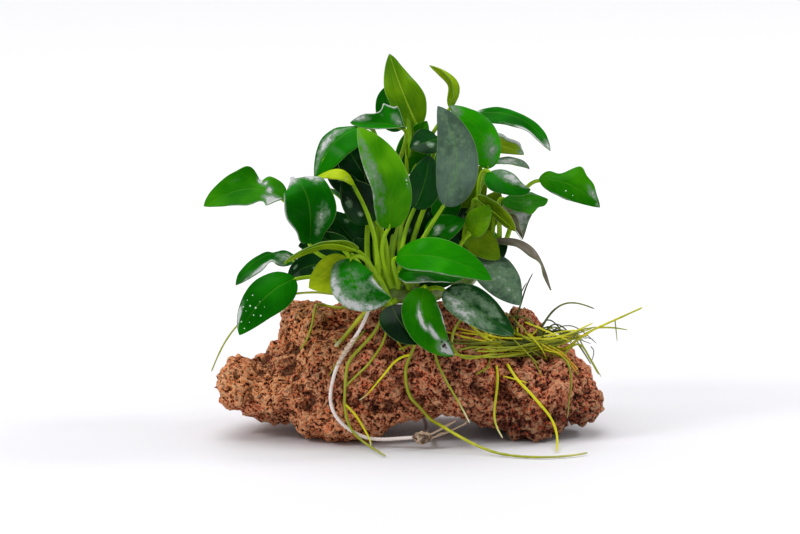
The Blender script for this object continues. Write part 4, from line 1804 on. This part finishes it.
class RootLook(bpy.types.PropertyGroup):
    spacing: length("Spacing", "Distance between a root's resting points", 2.8 * MM)
    bundle: number("Bundle", "Fine roots that gather on the right", 34, 0)
    crossing: number("Crossing", "Fine roots that cross the bundle", 22, 0)
    curls: number("Curls", "Dark roots that arch over the bundle", 12, 0)
    root: colour("Root", "Young roots", (0.33, 0.37, 0.012))
    root_gold: colour("Golden", "Golden roots", (0.78, 0.75, 0.01))
    root_orange: colour("Orange", "Orange roots", (0.85, 0.42, 0.02))
    root_dark: colour("Dark", "Old roots", (0.06, 0.09, 0.012))
    root_pale: colour("Pale", "Pale root ends", (0.75, 0.68, 0.45))


class TieLook(bpy.types.PropertyGroup):
    spacing: length("Spacing", "Distance between the cord's resting points", 4.5 * MM)
    pitch: length("Twist", "Length of one turn of the twist", 4.5 * MM)
    plies: number("Plies", "Strands twisted together", 3, 2)
    loops: number("Loops", "Loops in the knot's tangle", 12, 3)
    pale: colour("Pale", "Clean cord", (0.97, 0.87, 0.82))
    grey: colour("Grey", "Wet, greyer cord", (0.72, 0.6, 0.56))
    beige: colour("Beige", "Frayed fibres", (0.62, 0.46, 0.32))
    stain: colour("Stain", "Stained fibres", (0.13, 0.075, 0.045))


class StageLook(bpy.types.PropertyGroup):
    distance: length("Distance", "From the camera to the plant", 2.0)
    view_width: length("View width", "What the picture is wide at the plant", 0.32)
    floor: length("Floor", "Side of the floor", 12.0)
    floor_colour: colour("Floor colour", "The paper", (0.9, 0.895, 0.92))
    floor_near: colour("Floor near the stone", "The paper round the stone", (0.77, 0.765, 0.8))
    air: colour("Air", "Colour of the light from all round", (1, 1, 1))
    air_strength: amount("Air strength", "Light from all round", 0.45)
    overhead: amount("Overhead", "Light of the large round source above", 1.9)
    softness: amount(
        "Softness", "Width of the source above", math.radians(55), max=math.pi, subtype="ANGLE"
    )
    left: amount("Left", "Light of the box on the left", 9, unit="POWER")
    right: amount("Right", "Light of the box on the right", 6, unit="POWER")


class AnubiasLook(bpy.types.PropertyGroup):
    stage: bpy.props.PointerProperty(type=StageLook)
    stone: bpy.props.PointerProperty(type=StoneLook)
    rhizome: bpy.props.PointerProperty(type=RhizomeLook)
    tie: bpy.props.PointerProperty(type=TieLook)
    root: bpy.props.PointerProperty(type=RootLook)
    leaf: bpy.props.PointerProperty(type=LeafLook)


# Operators
class ANUBIAS_OT_stage(bpy.types.Operator):
    """Set up floor, lights and camera"""

    bl_idname = "anubias.stage"
    bl_label = "Stage"

    def execute(self, context):
        make_stage(context.scene.anubias.stage)
        return {"FINISHED"}


class ANUBIAS_OT_stone(bpy.types.Operator):
    """Make the pitted lava rock"""

    bl_idname = "anubias.stone"
    bl_label = "Stone"

    def execute(self, context):
        make_stone(context.scene.anubias.stone)
        return {"FINISHED"}


class ANUBIAS_OT_rhizomes(bpy.types.Operator):
    """Make the three creeping stems"""

    bl_idname = "anubias.rhizomes"
    bl_label = "Rhizomes"

    def execute(self, context):
        make_rhizomes(context.scene.anubias.rhizome)
        return {"FINISHED"}


class ANUBIAS_OT_tie(bpy.types.Operator):
    """Lay the twisted cord round stone and stem"""

    bl_idname = "anubias.tie"
    bl_label = "Tie"

    def execute(self, context):
        make_tie(context.scene.anubias.tie)
        return {"FINISHED"}


class ANUBIAS_OT_roots(bpy.types.Operator):
    """Lay the roots over the stone"""

    bl_idname = "anubias.roots"
    bl_label = "Roots"

    def execute(self, context):
        make_roots(context.scene.anubias.root)
        return {"FINISHED"}


class ANUBIAS_OT_fine_roots(bpy.types.Operator):
    """Lay the many fine roots"""

    bl_idname = "anubias.fine_roots"
    bl_label = "Fine roots"

    def execute(self, context):
        make_fine_roots(context.scene.anubias.root)
        return {"FINISHED"}


class ANUBIAS_OT_leaves(bpy.types.Operator):
    """Make every leaf with its petiole"""

    bl_idname = "anubias.leaves"
    bl_label = "Leaves"

    def execute(self, context):
        make_leaves(context.scene.anubias.leaf)
        return {"FINISHED"}


STEPS = ("stage", "stone", "rhizomes", "tie", "roots", "fine_roots", "leaves")


class ANUBIAS_PT_panel(bpy.types.Panel):
    bl_label = "Anubias on stone"
    bl_idname = "ANUBIAS_PT_panel"
    bl_space_type = "VIEW_3D"
    bl_region_type = "UI"
    bl_category = "Anubias"

    def draw(self, context):
        for step in STEPS:
            self.layout.operator("anubias." + step)


CLASSES = (
    StageLook, StoneLook, RhizomeLook, TieLook, RootLook, LeafLook, AnubiasLook,
    ANUBIAS_OT_stage, ANUBIAS_OT_stone, ANUBIAS_OT_rhizomes, ANUBIAS_OT_tie, ANUBIAS_OT_roots,
    ANUBIAS_OT_fine_roots, ANUBIAS_OT_leaves, ANUBIAS_PT_panel,
)


def register():
    for item in CLASSES:
        bpy.utils.register_class(item)
    bpy.types.Scene.anubias = bpy.props.PointerProperty(type=AnubiasLook)


def unregister():
    del bpy.types.Scene.anubias
    for item in reversed(CLASSES):
        bpy.utils.unregister_class(item)


def main():
    register()
    for step in STEPS:
        getattr(bpy.ops.anubias, step)()
    deselect_all()


if __name__ == "__main__":
    main()
